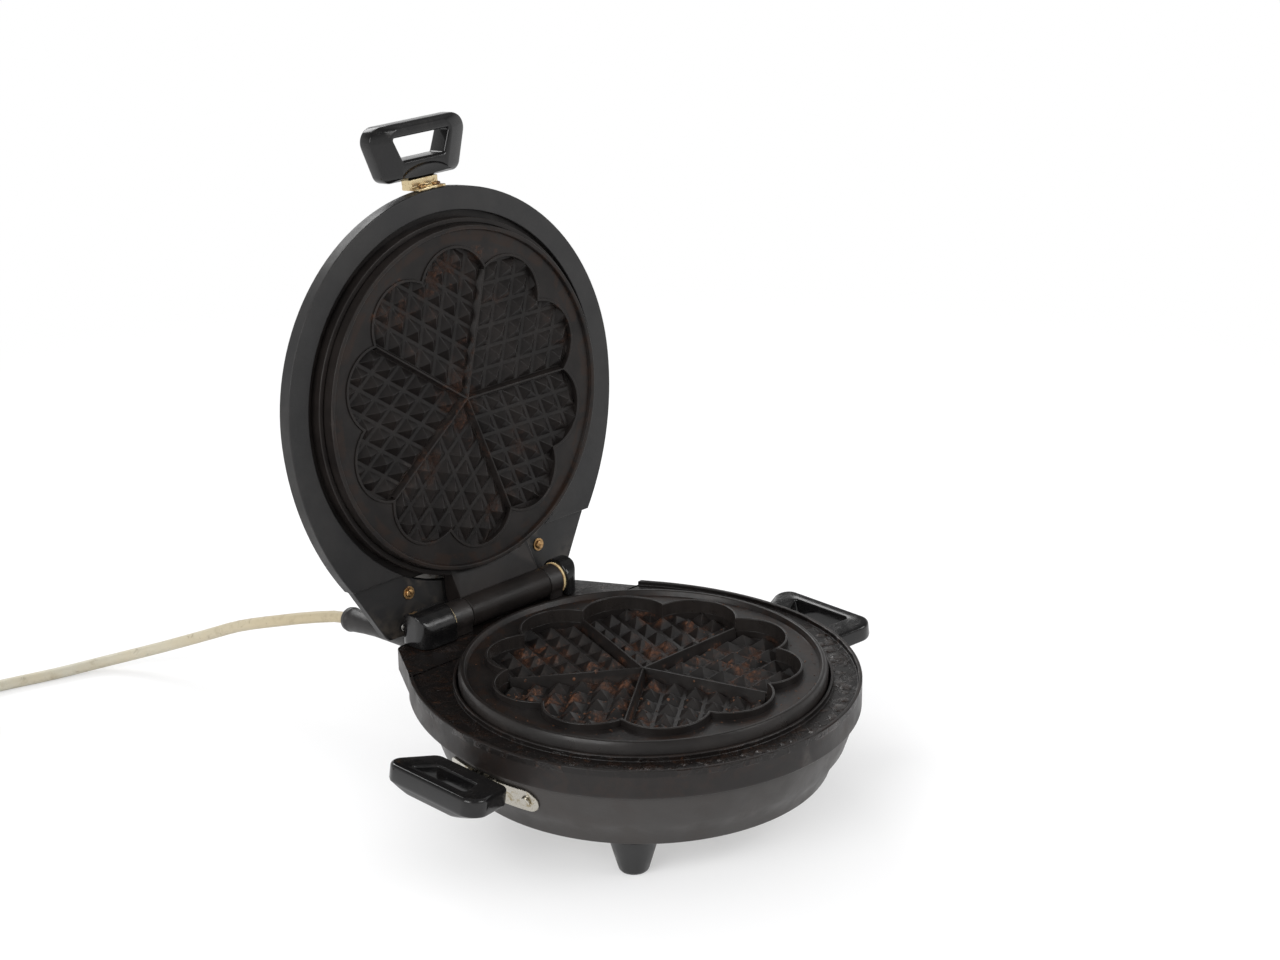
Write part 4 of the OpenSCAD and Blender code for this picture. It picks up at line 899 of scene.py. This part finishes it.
# The world is white to the camera, and otherwise bright round the horizon and darker overhead in reflections
world = bpy.data.worlds.new("studioWorld")
scene.world = world
world.use_nodes = True
sky = world.node_tree
sky.nodes.clear()
path = sky.nodes.new("ShaderNodeLightPath")
glossy = path.outputs["Is Glossy Ray"]
upward = linked(sky, "SeparateXYZ", {0: linked(sky, "TexCoord", {}, "Generated")}, "Z")
horizon = linked(sky, "Mix", {"Factor": glossy, "A": studio["horizon"], "B": studio["horizonGloss"]})
overhead = linked(sky, "Mix", {"Factor": glossy, "A": studio["overhead"], "B": studio["overheadGloss"]})
level = linked(sky, "MapRange", {"Value": upward, "From Min": 0.1, "From Max": 0.6, "To Min": horizon,
                                 "To Max": overhead}, interpolation_type="SMOOTHSTEP")
clear = linked(sky, "Math", {0: path.outputs["Is Camera Ray"], 1: path.outputs["Is Transmission Ray"]},
               operation="ADD", use_clamp=True)
strength = linked(sky, "Mix", {"Factor": clear, "A": level, "B": 1.0})
out = sky.nodes.new("ShaderNodeOutputWorld")
sky.links.new(linked(sky, "Background", {"Color": (1, 1, 1, 1), "Strength": strength}), out.inputs[0])

# The floor is matt, and turns to plain white away from the iron
bpy.ops.mesh.primitive_circle_add(vertices=96, radius=6, fill_type="NGON", location=(0, 0, 0))
floor = bpy.context.active_object
floor.name = "studioFloor"
floorMaterial = bpy.data.materials.new("studioFloor")
floorMaterial.use_nodes = True
tree = floorMaterial.node_tree
matt = tree.nodes["Principled BSDF"]
matt.inputs["Base Color"].default_value = (*studio["floorColour"], 1)
matt.inputs["Roughness"].default_value = 0.9
matt.inputs["Specular IOR Level"].default_value = 0.1
path = tree.nodes.new("ShaderNodeLightPath")
seen = linked(tree, "Math", {0: path.outputs["Is Camera Ray"], 1: path.outputs["Is Glossy Ray"]},
              operation="ADD", use_clamp=True)
distance = linked(tree, "VectorMath", {0: linked(tree, "TexCoord", {}, "Object")}, "Value", operation="LENGTH")
white = linked(tree, "MapRange", {"Value": distance, "From Min": studio["floorNear"],
                                  "From Max": studio["floorFar"], "To Min": studio["floorLift"], "To Max": 1.0},
               interpolation_type="SMOOTHSTEP")
share = linked(tree, "Math", {0: seen, 1: white}, operation="MULTIPLY")
mixed = linked(tree, "MixShader", {0: share, 1: matt.outputs[0], 2: linked(tree, "Emission", {})})
tree.links.new(mixed, tree.nodes["Material Output"].inputs[0])
floor.data.materials.append(floorMaterial)
scene.view_settings.view_transform = "Standard"
print("studio lit")
